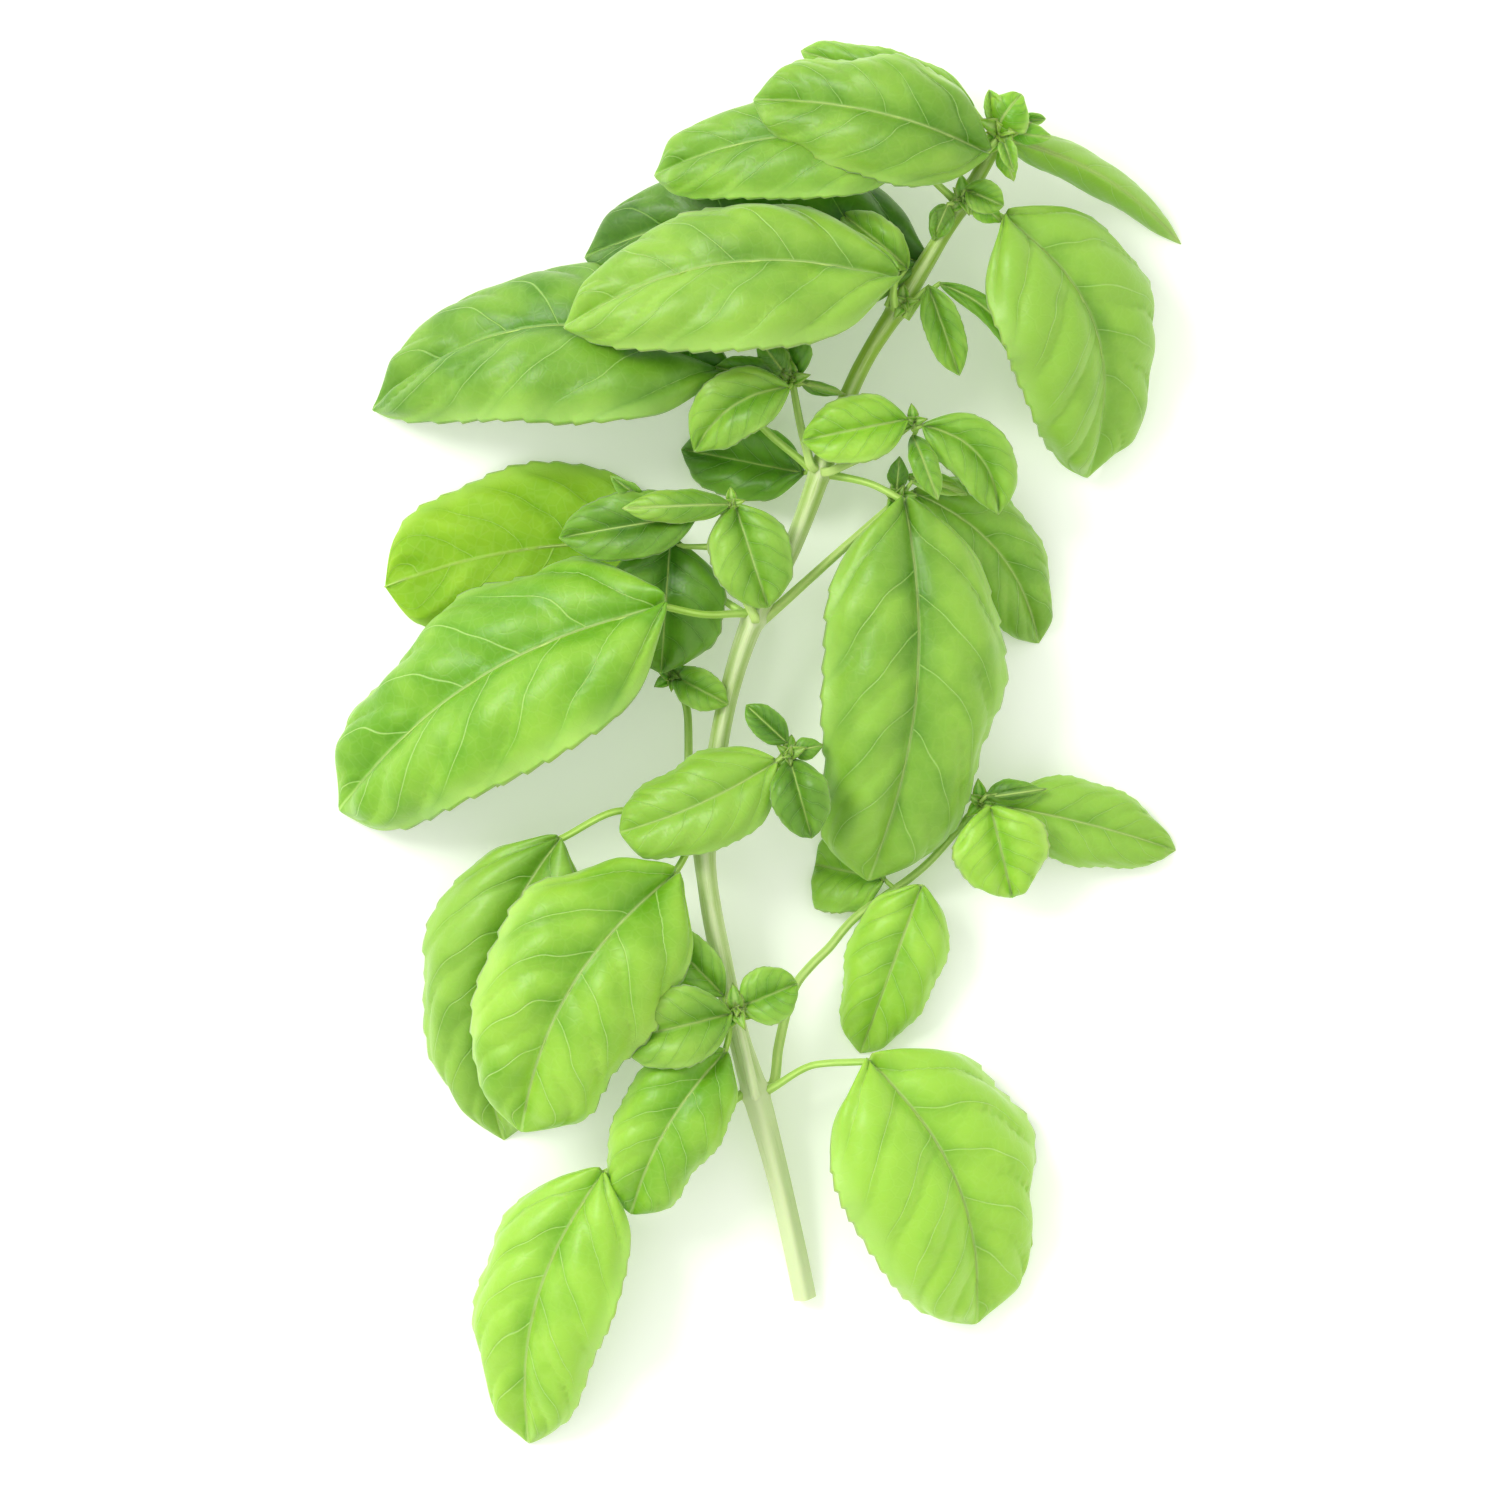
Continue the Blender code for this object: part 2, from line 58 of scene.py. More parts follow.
# %% [markdown]
# ## Light, table and camera
# A herb for a recipe card is lit like a page: a bright sky all round, one big soft lamp from the upper left, and
# a white table that almost glows. A long lens high above keeps the leaves from leaning outwards. The colours are
# shown with the Standard view, because the film-like one would turn the white table grey.

# %% Camera, looking straight down
VIEW_WIDTH = 0.3
LENS_MM = 200.0
SENSOR_MM = 36.0
camera = bpy.data.objects.new("camera", bpy.data.cameras.new("camera"))
camera.data.lens = LENS_MM
camera.data.sensor_width = SENSOR_MM
camera.data.clip_start = 0.1
camera.data.clip_end = 20.0
camera.location = (-0.002, -0.0005, VIEW_WIDTH * LENS_MM / SENSOR_MM)
bpy.context.scene.collection.objects.link(camera)
bpy.context.scene.camera = camera
bpy.context.scene.view_settings.view_transform = "Standard"
print("camera", round(camera.location.z, 3), "m above the table")

# %% Table, sky and lamp
def set_inputs(node, values):
    """Gives the node's inputs, by name, plain values."""
    for name, value in values.items():
        node.inputs[name].default_value = value


table_mesh = bpy.data.meshes.new("table")
table_mesh.from_pydata([(-2, -2, 0), (2, -2, 0), (2, 2, 0), (-2, 2, 0)], [], [(0, 1, 2, 3)])
table = bpy.data.objects.new("table", table_mesh)
bpy.context.scene.collection.objects.link(table)
table_paint = bpy.data.materials.new("table_white")
table_paint.use_nodes = True
set_inputs(table_paint.node_tree.nodes["Principled BSDF"], {
    "Base Color": (0.93, 0.955, 0.87, 1), "Roughness": 0.9, "Specular IOR Level": 0.2,
    "Emission Color": (0.94, 1.0, 0.88, 1), "Emission Strength": 0.19})
table_mesh.materials.append(table_paint)

sky = bpy.data.worlds.new("sky")
sky.use_nodes = True
set_inputs(sky.node_tree.nodes["Background"], {"Color": (1.0, 1.0, 1.0, 1), "Strength": 1.0})
bpy.context.scene.world = sky


def lamp(name, place, size, watts):
    """A round, soft lamp that points at the middle of the table."""
    light = bpy.data.lights.new(name, "AREA")
    light.shape = "DISK"
    light.size = size
    light.energy = watts
    made = bpy.data.objects.new(name, light)
    made.location = place
    made.rotation_euler = (-Vector(place)).to_track_quat("-Z", "Y").to_euler()
    bpy.context.scene.collection.objects.link(made)


lamp("soft_lamp", (-1.1, 0.7, 1.3), 0.8, 19.0)
print("table, sky and lamp are in place")

# %% [markdown]
# ## Reading a leaf back from its solid
# Each leaf solid is a tube of eight-sided rings with a point at either end. Its stalk has round rings, and its
# blade has flat ones: rim, upper side, rim, lower side. Walking outwards from the tip, one edge at a time, gives
# the rings one by one. They could also be typed in again from the model's source, but then a change there would
# be missed here, so the solid itself is read.

# %% Rings of a solid
SIDES = 8
WELD = 2e-6   # corners closer than this are one corner
OPPOSITE = SIDES // 2


def welded(node):
    """The node's loose triangles, joined, in a bmesh of their own."""
    soup = bmesh.new()
    soup.from_mesh(frame["nodes"][node].data)
    bmesh.ops.remove_doubles(soup, verts=soup.verts, dist=WELD)
    return soup


def layers_from(start):
    """Sets of vertices, each one edge further from the start than the last."""
    layers, seen = [set(start)], set(start)
    while layers[-1]:
        reached = {edge.other_vert(vert) for vert in layers[-1] for edge in vert.link_edges} - seen
        seen |= reached
        layers.append(reached)
    return layers[:-1]


def in_order(ring):
    """The places of a ring's vertices, one after another round it."""
    path = [next(iter(ring))]
    while len(path) < len(ring):
        beside = (edge.other_vert(path[-1]) for edge in path[-1].link_edges)
        path.append(next(vert for vert in beside if vert in ring and vert not in path))
    return np.array([vert.co[:] for vert in path])


def matched(ring, before):
    """The ring turned and, if need be, reversed so that its points follow those of the ring before it."""
    choices = [np.roll(way, shift, axis=0) for way in (ring, ring[::-1]) for shift in range(SIDES)]
    return min(choices, key=lambda choice: ((choice - before) ** 2).sum())


def leaf_rings(node):
    """Rings from the stalk's foot to the blade's end, as (rings, 8, 3), and the tip.

    Points run from the right rim over the upper side to the left rim and back along the lower side.
    """
    solid = welded(node)
    for vert in solid.verts:
        if len(vert.link_edges) != SIDES:
            continue
        layers = layers_from([vert])
        if [len(layer) for layer in layers] == [1] + [SIDES] * (len(layers) - 2) + [1]:
            break
    rings = [in_order(layer) for layer in layers[1:-1]]
    ends = [np.array(next(iter(layers[i])).co[:]) for i in (0, -1)]
    solid.free()
    spread = [np.linalg.norm(ring - ring.mean(0), axis=1) for ring in (rings[0], rings[-1])]
    if spread[0].std() / spread[0].mean() > spread[1].std() / spread[1].mean():
        rings.reverse()
        ends.reverse()
    for i in range(len(rings) - 2, -1, -1):
        rings[i] = matched(rings[i], rings[i + 1])
    widest = max(rings, key=lambda ring: np.ptp(ring, axis=0).max())
    right = max(range(OPPOSITE), key=lambda i: np.linalg.norm(widest[i] - widest[i + OPPOSITE]))
    rings = [np.roll(ring, -right, axis=0) for ring in rings]
    widest = np.roll(widest, -right, axis=0)
    if widest[2][2] < widest[6][2]:
        rings = [np.roll(ring, OPPOSITE, axis=0) for ring in rings]
        widest = np.roll(widest, OPPOSITE, axis=0)
    ahead = ends[1] - rings[2].mean(0)
    if np.cross(widest[0] - widest[4], ahead)[2] < 0:
        rings = [ring[[4, 3, 2, 1, 0, 7, 6, 5]] for ring in rings]
    return np.array(rings), ends[1]


rings, tip = leaf_rings("leaf_4_right")
print("leaf_4_right has", len(rings), "rings, and its tip is at", (tip / MM).round(1), "mm")

# %% [markdown]
# ## A smooth blade between the rings
# A few rings are enough for weight and touch, but the eye wants a surface without corners. A cubic curve through
# the rings gives it. Where neighbouring steps differ much, as at the blade's broad base, the curve's slope is
# held back, so that it doesn't swing past the points that it joins.

# %% A curve through points
STEEPEST = 2.4   # a slope may be this many times the gentler of its two neighbouring steps


def through(knots, values, places):
    """Values at places, on a cubic curve through values at knots. Values may have any shape after the first."""
    shape = values.shape[1:]
    flat = values.reshape(len(knots), -1)
    gaps = np.diff(knots)[:, None]
    steps = np.diff(flat, axis=0) / gaps
    slopes = np.empty_like(flat)
    slopes[0], slopes[-1] = steps[0], steps[-1]
    slopes[1:-1] = (steps[:-1] * gaps[1:] + steps[1:] * gaps[:-1]) / (gaps[1:] + gaps[:-1])
    small = STEEPEST * np.minimum(abs(steps[:-1]), abs(steps[1:]))
    same_way = steps[:-1] * steps[1:] > 0
    slopes[1:-1] = np.where(same_way, np.clip(slopes[1:-1], -small, small), slopes[1:-1])
    index = np.clip(np.searchsorted(knots, places, side="right") - 1, 0, len(knots) - 2)
    gap = gaps[index]
    x = ((places - knots[index])[:, None]) / gap
    made = ((2 * x**3 - 3 * x**2 + 1) * flat[index] + (x**3 - 2 * x**2 + x) * gap * slopes[index]
            + (3 * x**2 - 2 * x**3) * flat[index + 1] + (x**3 - x**2) * gap * slopes[index + 1])
    return made.reshape(len(places), *shape)


def travelled(points):
    """How far along the points each one is. A point may itself be a row of points, which then move together."""
    moves = np.linalg.norm(np.diff(points, axis=0), axis=-1)
    while moves.ndim > 1:
        moves = moves.mean(-1)
    return np.concatenate([[0.0], np.cumsum(moves)])


# %% The middle surface of a blade
FINE_SHARES = (0.0, 0.03, 0.09, 0.18, 0.30, 0.43, 0.57, 0.71, 0.84, 0.94, 1.0)
COARSE_SHARES = (0.0, 0.05, 0.18, 0.38, 0.60, 0.82, 1.0)
STALK_RINGS = 3
MIDDLE_DEPTH = 0.13 * MM   # how far the midrib's line lies below the solid's upper side
ACROSS = np.array([-1.0, -0.5, 0.0, 0.5, 1.0])
ROUNDING = 0.055           # each column is smoothed over about this share of the blade's length
RIM_CROWDING = 0.45        # 0 spaces the columns evenly across, 1 crowds them at the rims as a sine does


def middle_columns(rings, tip):
    """Five points across the blade at each ring: left rim, left half, midrib, right half and right rim."""
    rows = []
    for i, ring in enumerate(rings[STALK_RINGS - 1:]):
        down = ring[6] - ring[2]
        middle = ring[2] + down / np.linalg.norm(down) * min(MIDDLE_DEPTH, np.linalg.norm(down) / 2)
        left, right = (ring[3] + ring[5]) / 2, (ring[1] + ring[7]) / 2
        if i == 0:
            middle = ring.mean(0)
            left, right = (ring[4] + middle) / 2, (ring[0] + middle) / 2
        rows.append([ring[4], left, middle, right, ring[0]])
    rows.append([tip] * 5)
    return np.array(rows)


def softened(grid, reach):
    """The grid with each column rounded off over about reach rows. Its two ends stay where they are."""
    wide = math.ceil(3 * reach)
    weights = np.exp(-0.5 * (np.arange(-wide, wide + 1) / reach) ** 2)
    before = 2 * grid[0] - grid[wide:0:-1]
    after = 2 * grid[-1] - grid[-2:-wide - 2:-1]
    long = np.concatenate([before, grid, after])
    return sum(weight * long[i:i + len(grid)] for i, weight in enumerate(weights / weights.sum()))


def blade_sheet(columns, row_step, columns_each_side):
    """(points (rows, columns, 3), share of the blade's length at each row, place across at each column)."""
    shares = np.array(FINE_SHARES if len(columns) == len(FINE_SHARES) else COARSE_SHARES)
    way = travelled(columns)
    rows = max(16, round(way[-1] / row_step))
    stops = np.linspace(0, way[-1], rows + 1)
    along = through(way, shares[:, None], stops)[:, 0]
    grid = softened(through(way, columns, stops), ROUNDING * rows)
    turn = np.linspace(-math.pi / 2, math.pi / 2, 2 * columns_each_side + 1)
    across = RIM_CROWDING * np.sin(turn) + (1 - RIM_CROWDING) * turn / (math.pi / 2)
    wide = through(ACROSS, grid.transpose(1, 0, 2), across)
    return wide.transpose(1, 0, 2), along.clip(0, 1), across


columns = middle_columns(rings, tip)
grid, along, across = blade_sheet(columns, 0.9 * MM, 18)
print("leaf_4_right's blade has", grid.shape[0], "rows of", grid.shape[1], "points")

# %% [markdown]
# ## Sums as nodes
# Veins are needed twice: as relief in the shape, and as pale lines in the colour. Both kinds of node tree have
# the same Math nodes, so one function can write the same sums into either. A small class lets ordinary
# arithmetic on a socket add those nodes, which reads better than a list of links.

# %% A number that travels through a node tree


class Wire:
    """A number in a node tree. Arithmetic on it adds Math nodes."""

    def __init__(self, tree, socket):
        self.tree = tree
        self.socket = socket

    def math(self, operation, *others):
        made = add_node(self.tree, "ShaderNodeMath", dict(enumerate((self, *others))), operation=operation)
        return Wire(self.tree, made.outputs[0])

    def __add__(self, other):
        return self.math("ADD", other)

    def __sub__(self, other):
        return self.math("SUBTRACT", other)

    def __mul__(self, other):
        return self.math("MULTIPLY", other)

    def __truediv__(self, other):
        return self.math("DIVIDE", other)

    def flipped(self):
        """One minus the number."""
        return (self * -1.0) + 1.0

    def rising(self, low, high):
        """0 below low, 1 above high, and a smooth rise between them."""
        made = add_node(self.tree, "ShaderNodeMapRange", {"Value": self, "From Min": low, "From Max": high},
                        interpolation_type="SMOOTHSTEP")
        return Wire(self.tree, made.outputs["Result"])


def add_node(tree, kind, inputs=(), **settings):
    """A new node. inputs maps socket names or numbers to values, sockets or wires."""
    made = tree.nodes.new(kind)
    for name, value in settings.items():
        setattr(made, name, value)
    for name, value in dict(inputs).items():
        if isinstance(value, Wire):
            value = value.socket
        if isinstance(value, bpy.types.NodeSocket):
            tree.links.new(value, made.inputs[name])
        else:
            made.inputs[name].default_value = value
    return made


def add_sockets(tree, sockets):
    """Group inputs and outputs as (name, "INPUT" or "OUTPUT", socket kind, value or None)."""
    for name, way, kind, value in sockets:
        made = tree.interface.new_socket(name=name, in_out=way, socket_type="NodeSocket" + kind)
        if value is not None:
            made.default_value = value
    return tree.nodes.new("NodeGroupInput"), tree.nodes.new("NodeGroupOutput")


def named_number(tree, name):
    """A number that the mesh carries at each point, read in geometry nodes or in a shader."""
    if tree.bl_idname == "GeometryNodeTree":
        read = add_node(tree, "GeometryNodeInputNamedAttribute", {"Name": name}, data_type="FLOAT")
        return Wire(tree, read.outputs["Attribute"])
    read = add_node(tree, "ShaderNodeAttribute", attribute_name=name)
    return Wire(tree, read.outputs["Fac"])


print("wires are ready")

# %% [markdown]
# ## Where the side veins run
# A basil blade has four to six side veins on each half. They leave the midrib forwards and bend further forwards
# near the rim, and the two halves don't quite match. If a point's share of the length is taken back by how far
# the vein has bent there, each vein becomes a whole number, and the fraction says how far off it is.

# %% Side veins as sums
FORWARD = 0.16      # share of the length that a vein gains on its way to the rim
BEND = 0.20         # what it gains besides, mostly near the rim
HALF_SHIFT = 0.4    # of a vein's spacing, between the two halves
WANDER = 0.10       # how far a vein strays from side to side, as a share of the length
USUAL_BLADE = 75.0, 22.0   # length and half width in mm


def side_veins(tree, pairs):
    """(0 on a side vein to 1 at the next, distance to the nearer one up to 0.5, distance from the midrib)."""
    length_share = named_number(tree, "along")
    place_across = named_number(tree, "across")
    own = named_number(tree, "own_number")
    away = place_across.math("ABSOLUTE")
    right = place_across.math("GREATER_THAN", 0.0)
    where = add_node(tree, "ShaderNodeCombineXYZ", {"X": length_share * 3.0, "Y": place_across * 1.5,
                                                    "Z": own * 9.0})
    cloud = add_node(tree, "ShaderNodeTexNoise", {"Vector": where.outputs[0], "Scale": 1.3, "Detail": 1.0})
    wander = (Wire(tree, cloud.outputs[0]) - 0.5) * WANDER
    start = length_share - away * FORWARD - away * away * BEND + wander
    count = start * pairs + right * HALF_SHIFT + own * 2.0 + 4.0
    phase = count.math("FRACT")
    return phase, phase.math("MINIMUM", phase.flipped()), away


spread = math.degrees(math.atan(USUAL_BLADE[1] / (USUAL_BLADE[0] * FORWARD)))
print("side veins leave the midrib at", round(spread), "degrees to it or so")

# %% [markdown]
# ## Node tree for a round stem or stalk
# Stems and stalks follow a path and change their thickness on the way. Curve to Mesh does just that: it carries a
# profile along the path. The profile here is a circle whose radius swells four times round, because the stems
# of basil are square with rounded corners. "rib" and "run" are kept for the colour streaks, and "rib" also for
# the painted highlight that makes the ribs lighter than the hollows. A path may also carry "joint", which is 1 at
# a joint and makes the stem paler there.

# %% Stem tree
stem_tree = bpy.data.node_groups.new("basil_stem", "GeometryNodeTree")
inside, outside = add_sockets(stem_tree, (
    ("Geometry", "OUTPUT", "Geometry", None), ("Path", "INPUT", "Geometry", None), ("Sides", "INPUT", "Int", 32),
    ("Rib Height", "INPUT", "Float", 0.1), ("Skin", "INPUT", "Material", None)))
path = add_node(stem_tree, "GeometryNodeMeshToCurve", {"Mesh": inside.outputs["Path"]})
run = add_node(stem_tree, "GeometryNodeSplineParameter")
path = add_node(stem_tree, "GeometryNodeStoreNamedAttribute", {
    "Geometry": path.outputs[0], "Name": "run", "Value": run.outputs["Length"]}, domain="POINT")
circle = add_node(stem_tree, "GeometryNodeCurvePrimitiveCircle",
                  {"Resolution": inside.outputs["Sides"], "Radius": 1.0})
number = Wire(stem_tree, add_node(stem_tree, "GeometryNodeInputIndex").outputs[0])
RIBS = 4
angle = number / Wire(stem_tree, inside.outputs["Sides"]) * (2 * math.pi * RIBS)
rib = angle.math("COSINE")
profile = add_node(stem_tree, "GeometryNodeStoreNamedAttribute", {
    "Geometry": circle.outputs[0], "Name": "rib", "Value": rib}, domain="POINT")
place = add_node(stem_tree, "GeometryNodeInputPosition")
swell = rib * Wire(stem_tree, inside.outputs["Rib Height"]) + 1.0
scaled = add_node(stem_tree, "ShaderNodeVectorMath", {0: place.outputs[0], "Scale": swell}, operation="SCALE")
profile = add_node(stem_tree, "GeometryNodeSetPosition", {
    "Geometry": profile.outputs[0], "Position": scaled.outputs[0]})
tube = add_node(stem_tree, "GeometryNodeCurveToMesh", {
    "Curve": path.outputs[0], "Profile Curve": profile.outputs[0],
    "Scale": named_number(stem_tree, "radius"), "Fill Caps": True})
tube = add_node(stem_tree, "GeometryNodeSetShadeSmooth", {"Geometry": tube.outputs[0]})
whole = add_node(stem_tree, "GeometryNodeRealizeInstances", {"Geometry": tube.outputs[0]})
painted = add_node(stem_tree, "GeometryNodeSetMaterial", {
    "Geometry": whole.outputs[0], "Material": inside.outputs["Skin"]})
stem_tree.links.new(painted.outputs[0], outside.inputs["Geometry"])
print("stem tree has", len(stem_tree.nodes), "nodes")

# %% [markdown]
# ## Node tree for a leaf
# The leaf tree starts from the thin middle sheet. It pushes the sheet up between the side veins and down along
# them, as the quilted blade of basil is, and lets the rim wave and end in small teeth. Then it gives the sheet
# its thickness by moving one copy up and one down and welding their rims. The stalk and the midrib are one tube
# from the stem tree, which sits a little below the blade, so that the midrib shows as a fine line above and as a
# round rib below. Doing this by nodes keeps each size in one named input that all leaves share.

# %% Leaf tree
LOWEST = 0.25 * MM   # a blade that reaches the table lies on it

leaf_tree = bpy.data.node_groups.new("basil_leaf", "GeometryNodeTree")
inside, outside = add_sockets(leaf_tree, (
    ("Geometry", "OUTPUT", "Geometry", None), ("Sheet", "INPUT", "Geometry", None),
    ("Midrib Path", "INPUT", "Object", None), ("Vein Pairs", "INPUT", "Float", 5.5),
    ("Quilt Height", "INPUT", "Float", 0.0009), ("Vein Depth", "INPUT", "Float", 0.0003),
    ("Midrib Dip", "INPUT", "Float", 0.0006), ("Rim Wave", "INPUT", "Float", 0.0008),
    ("Tooth Length", "INPUT", "Float", 0.0006), ("Teeth", "INPUT", "Float", 15.0),
    ("Unevenness", "INPUT", "Float", 0.0008), ("Half Bulge", "INPUT", "Float", 0.002),
    ("Thickness", "INPUT", "Float", 0.00034), ("Sides", "INPUT", "Int", 14),
    ("Upper Skin", "INPUT", "Material", None), ("Lower Skin", "INPUT", "Material", None),
    ("Rib Skin", "INPUT", "Material", None)))


def leaf_input(name):
    return Wire(leaf_tree, inside.outputs[name])


phase, near, away = side_veins(leaf_tree, leaf_input("Vein Pairs"))
along_wire = named_number(leaf_tree, "along")
own_wire = named_number(leaf_tree, "own_number")
half_width = named_number(leaf_tree, "half_width")
open_part = away.rising(0.0, 0.3) * away.rising(0.7, 1.0).flipped()
puff = (phase * math.pi).math("SINE") * open_part * leaf_input("Quilt Height")
crease = near.rising(0.0, 0.11).flipped() * away.rising(0.75, 1.0).flipped() * leaf_input("Vein Depth")
dip = (away * half_width).rising(0.0, 0.0016).flipped() * leaf_input("Midrib Dip")
beat = along_wire * 17.0 + own_wire * 40.0 + named_number(leaf_tree, "across") * 1.6
wave = beat.math("SINE") * away * away * away * leaf_input("Rim Wave") * along_wire.rising(0.0, 0.2)
here = add_node(leaf_tree, "GeometryNodeInputPosition")
bumps = add_node(leaf_tree, "ShaderNodeTexNoise", {"Vector": here.outputs[0], "Scale": 75.0, "Detail": 1.0})
uneven = (Wire(leaf_tree, bumps.outputs[0]) - 0.5) * leaf_input("Unevenness") * away.rising(0.0, 0.2) * 2.0
bulge = (away * math.pi).math("SINE") * leaf_input("Half Bulge")
height = puff + bulge - crease - dip * along_wire.rising(0.0, 0.1) + wave + uneven
height = height * along_wire.rising(0.9, 1.0).flipped()
lift = add_node(leaf_tree, "GeometryNodeInputNormal")
lifted = add_node(leaf_tree, "ShaderNodeVectorMath", {0: lift.outputs[0], "Scale": height}, operation="SCALE")
tooth = (along_wire * leaf_input("Teeth") + own_wire * 5.0).math("FRACT")
tooth = tooth * tooth.rising(0.85, 1.0).flipped() * away.rising(0.93, 1.0) * leaf_input("Tooth Length")
tooth = tooth * along_wire.rising(0.12, 0.3) * along_wire.rising(0.93, 1.0).flipped()
out_way = add_node(leaf_tree, "GeometryNodeInputNamedAttribute", {"Name": "outwards"},
                   data_type="FLOAT_VECTOR")
toothed = add_node(leaf_tree, "ShaderNodeVectorMath", {0: out_way.outputs["Attribute"], "Scale": tooth},
                   operation="SCALE")
moved = add_node(leaf_tree, "ShaderNodeVectorMath", {0: lifted.outputs[0], 1: toothed.outputs[0]})
relief = add_node(leaf_tree, "GeometryNodeSetPosition", {
    "Geometry": inside.outputs["Sheet"], "Offset": moved.outputs[0]})
after = add_node(leaf_tree, "ShaderNodeSeparateXYZ", {0: here.outputs[0]})
kept_up = add_node(leaf_tree, "ShaderNodeCombineXYZ", {
    "X": after.outputs[0], "Y": after.outputs[1],
    "Z": Wire(leaf_tree, after.outputs[2]).math("MAXIMUM", LOWEST)})
relief = add_node(leaf_tree, "GeometryNodeSetPosition", {
    "Geometry": relief.outputs[0], "Position": kept_up.outputs[0]})
half_thick = leaf_input("Thickness") * 0.5 * named_number(leaf_tree, "edge").flipped()
skins = []
for way, skin in ((1.0, "Upper Skin"), (-1.0, "Lower Skin")):
    push = add_node(leaf_tree, "ShaderNodeVectorMath", {0: lift.outputs[0], "Scale": half_thick * way},
                    operation="SCALE")
    side = add_node(leaf_tree, "GeometryNodeSetPosition", {"Geometry": relief.outputs[0],
                                                           "Offset": push.outputs[0]})
    if way < 0:
        side = add_node(leaf_tree, "GeometryNodeFlipFaces", {"Mesh": side.outputs[0]})
    skins.append(add_node(leaf_tree, "GeometryNodeSetMaterial", {
        "Geometry": side.outputs[0], "Material": inside.outputs[skin]}))
both = add_node(leaf_tree, "GeometryNodeJoinGeometry")
for side in skins:
    leaf_tree.links.new(side.outputs[0], both.inputs[0])
closed = add_node(leaf_tree, "GeometryNodeMergeByDistance", {"Geometry": both.outputs[0], "Distance": 1e-6})
path_of = add_node(leaf_tree, "GeometryNodeObjectInfo", {"Object": inside.outputs["Midrib Path"]})
rib_tube = add_node(leaf_tree, "GeometryNodeGroup", node_tree=stem_tree)
leaf_tree.links.new(path_of.outputs["Geometry"], rib_tube.inputs["Path"])
leaf_tree.links.new(inside.outputs["Sides"], rib_tube.inputs["Sides"])
leaf_tree.links.new(inside.outputs["Rib Skin"], rib_tube.inputs["Skin"])
set_inputs(rib_tube, {"Rib Height": 0.05})
together = add_node(leaf_tree, "GeometryNodeJoinGeometry")
leaf_tree.links.new(rib_tube.outputs[0], together.inputs[0])
leaf_tree.links.new(closed.outputs[0], together.inputs[0])
whole = add_node(leaf_tree, "GeometryNodeRealizeInstances", {"Geometry": together.outputs[0]})
whole = add_node(leaf_tree, "GeometryNodeSetShadeSmooth", {"Geometry": whole.outputs[0]})
leaf_tree.links.new(whole.outputs[0], outside.inputs["Geometry"])
print("leaf tree has", len(leaf_tree.nodes), "nodes")

# %% [markdown]
# ## Colours
# Basil is a fresh yellow-green with paler veins, softly glossy above and duller and paler below. Light goes
# through the thin blade a little, which some scattering under the skin gives. Two effects are shared by several
# skins, so they are groups: the net of veins, which also carries painted shade along the midrib and the side
# veins and painted light towards the rims, and the cloudy change from darker to lighter green.

# %% Group: the net of veins
vein_group = bpy.data.node_groups.new("vein_net", "ShaderNodeTree")
inside, outside = add_sockets(vein_group, (
    ("Vein Pairs", "INPUT", "Float", 5.5), ("Net Size", "INPUT", "Float", 1.6),
    ("Veins", "OUTPUT", "Float", None), ("Net", "OUTPUT", "Float", None), ("Height", "OUTPUT", "Float", None),
    ("Quilt", "OUTPUT", "Float", None), ("Shade", "OUTPUT", "Float", None)))
phase, near, away = side_veins(vein_group, Wire(vein_group, inside.outputs["Vein Pairs"]))
half_width = named_number(vein_group, "half_width")
line = near.rising(0.002, 0.024).flipped() * away.rising(0.55, 0.97).flipped()
from_rib = away * half_width * 1000.0
mid = from_rib.rising(0.1, 0.5).flipped()
far = named_number(vein_group, "along").rising(0.4, 0.9).flipped()
# Shade is painted shade: darker in the midrib's groove over the blade's first part, and along the side veins.
# Towards the rims it falls below zero, which paints light there.
shade = from_rib.rising(0.4, 5.0).flipped() * far * 0.75 + near.rising(0.0, 0.16).flipped() * 0.3
shade = shade - away.rising(0.4, 1.0) * 0.55
veins = line.math("MAXIMUM", mid)
flat_place = add_node(vein_group, "ShaderNodeCombineXYZ", {
    "X": named_number(vein_group, "across") * half_width * 1000.0,
    "Y": named_number(vein_group, "along") * named_number(vein_group, "blade_length") * 1000.0,
    "Z": named_number(vein_group, "own_number") * 30.0})
cells = add_node(vein_group, "ShaderNodeTexVoronoi", {
    "Vector": flat_place.outputs[0],
    "Scale": Wire(vein_group, inside.outputs["Net Size"]).math("POWER", -1.0)}, feature="DISTANCE_TO_EDGE")
net = Wire(vein_group, cells.outputs["Distance"]).rising(0.0, 0.12).flipped()
quilt = (phase * math.pi).math("SINE")
for name, wire in (("Veins", veins), ("Net", net), ("Quilt", quilt), ("Shade", shade),
                   ("Height", (veins * -0.6 - net * 0.1) + quilt * 0.2)):
    vein_group.links.new(wire.socket, outside.inputs[name])
print("vein net has", len(vein_group.nodes), "nodes")

# %% Group: cloudy greens
cloud_group = bpy.data.node_groups.new("cloudy_green", "ShaderNodeTree")
inside, outside = add_sockets(cloud_group, (
    ("Dark", "INPUT", "Color", (0, 0, 0, 1)), ("Light", "INPUT", "Color", (1, 1, 1, 1)),
    ("Shift", "INPUT", "Float", 0.0), ("Patch Size", "INPUT", "Float", 0.012),
    ("Color", "OUTPUT", "Color", None), ("Fine", "OUTPUT", "Float", None)))
where = add_node(cloud_group, "ShaderNodeTexCoord")
patch = Wire(cloud_group, inside.outputs["Patch Size"]).math("POWER", -1.0)
big = add_node(cloud_group, "ShaderNodeTexNoise", {"Vector": where.outputs["Object"], "Scale": patch,
                                                  "Detail": 2.0})
fine = add_node(cloud_group, "ShaderNodeTexNoise", {"Vector": where.outputs["Object"], "Scale": 1400.0,
                                                   "Detail": 2.0})
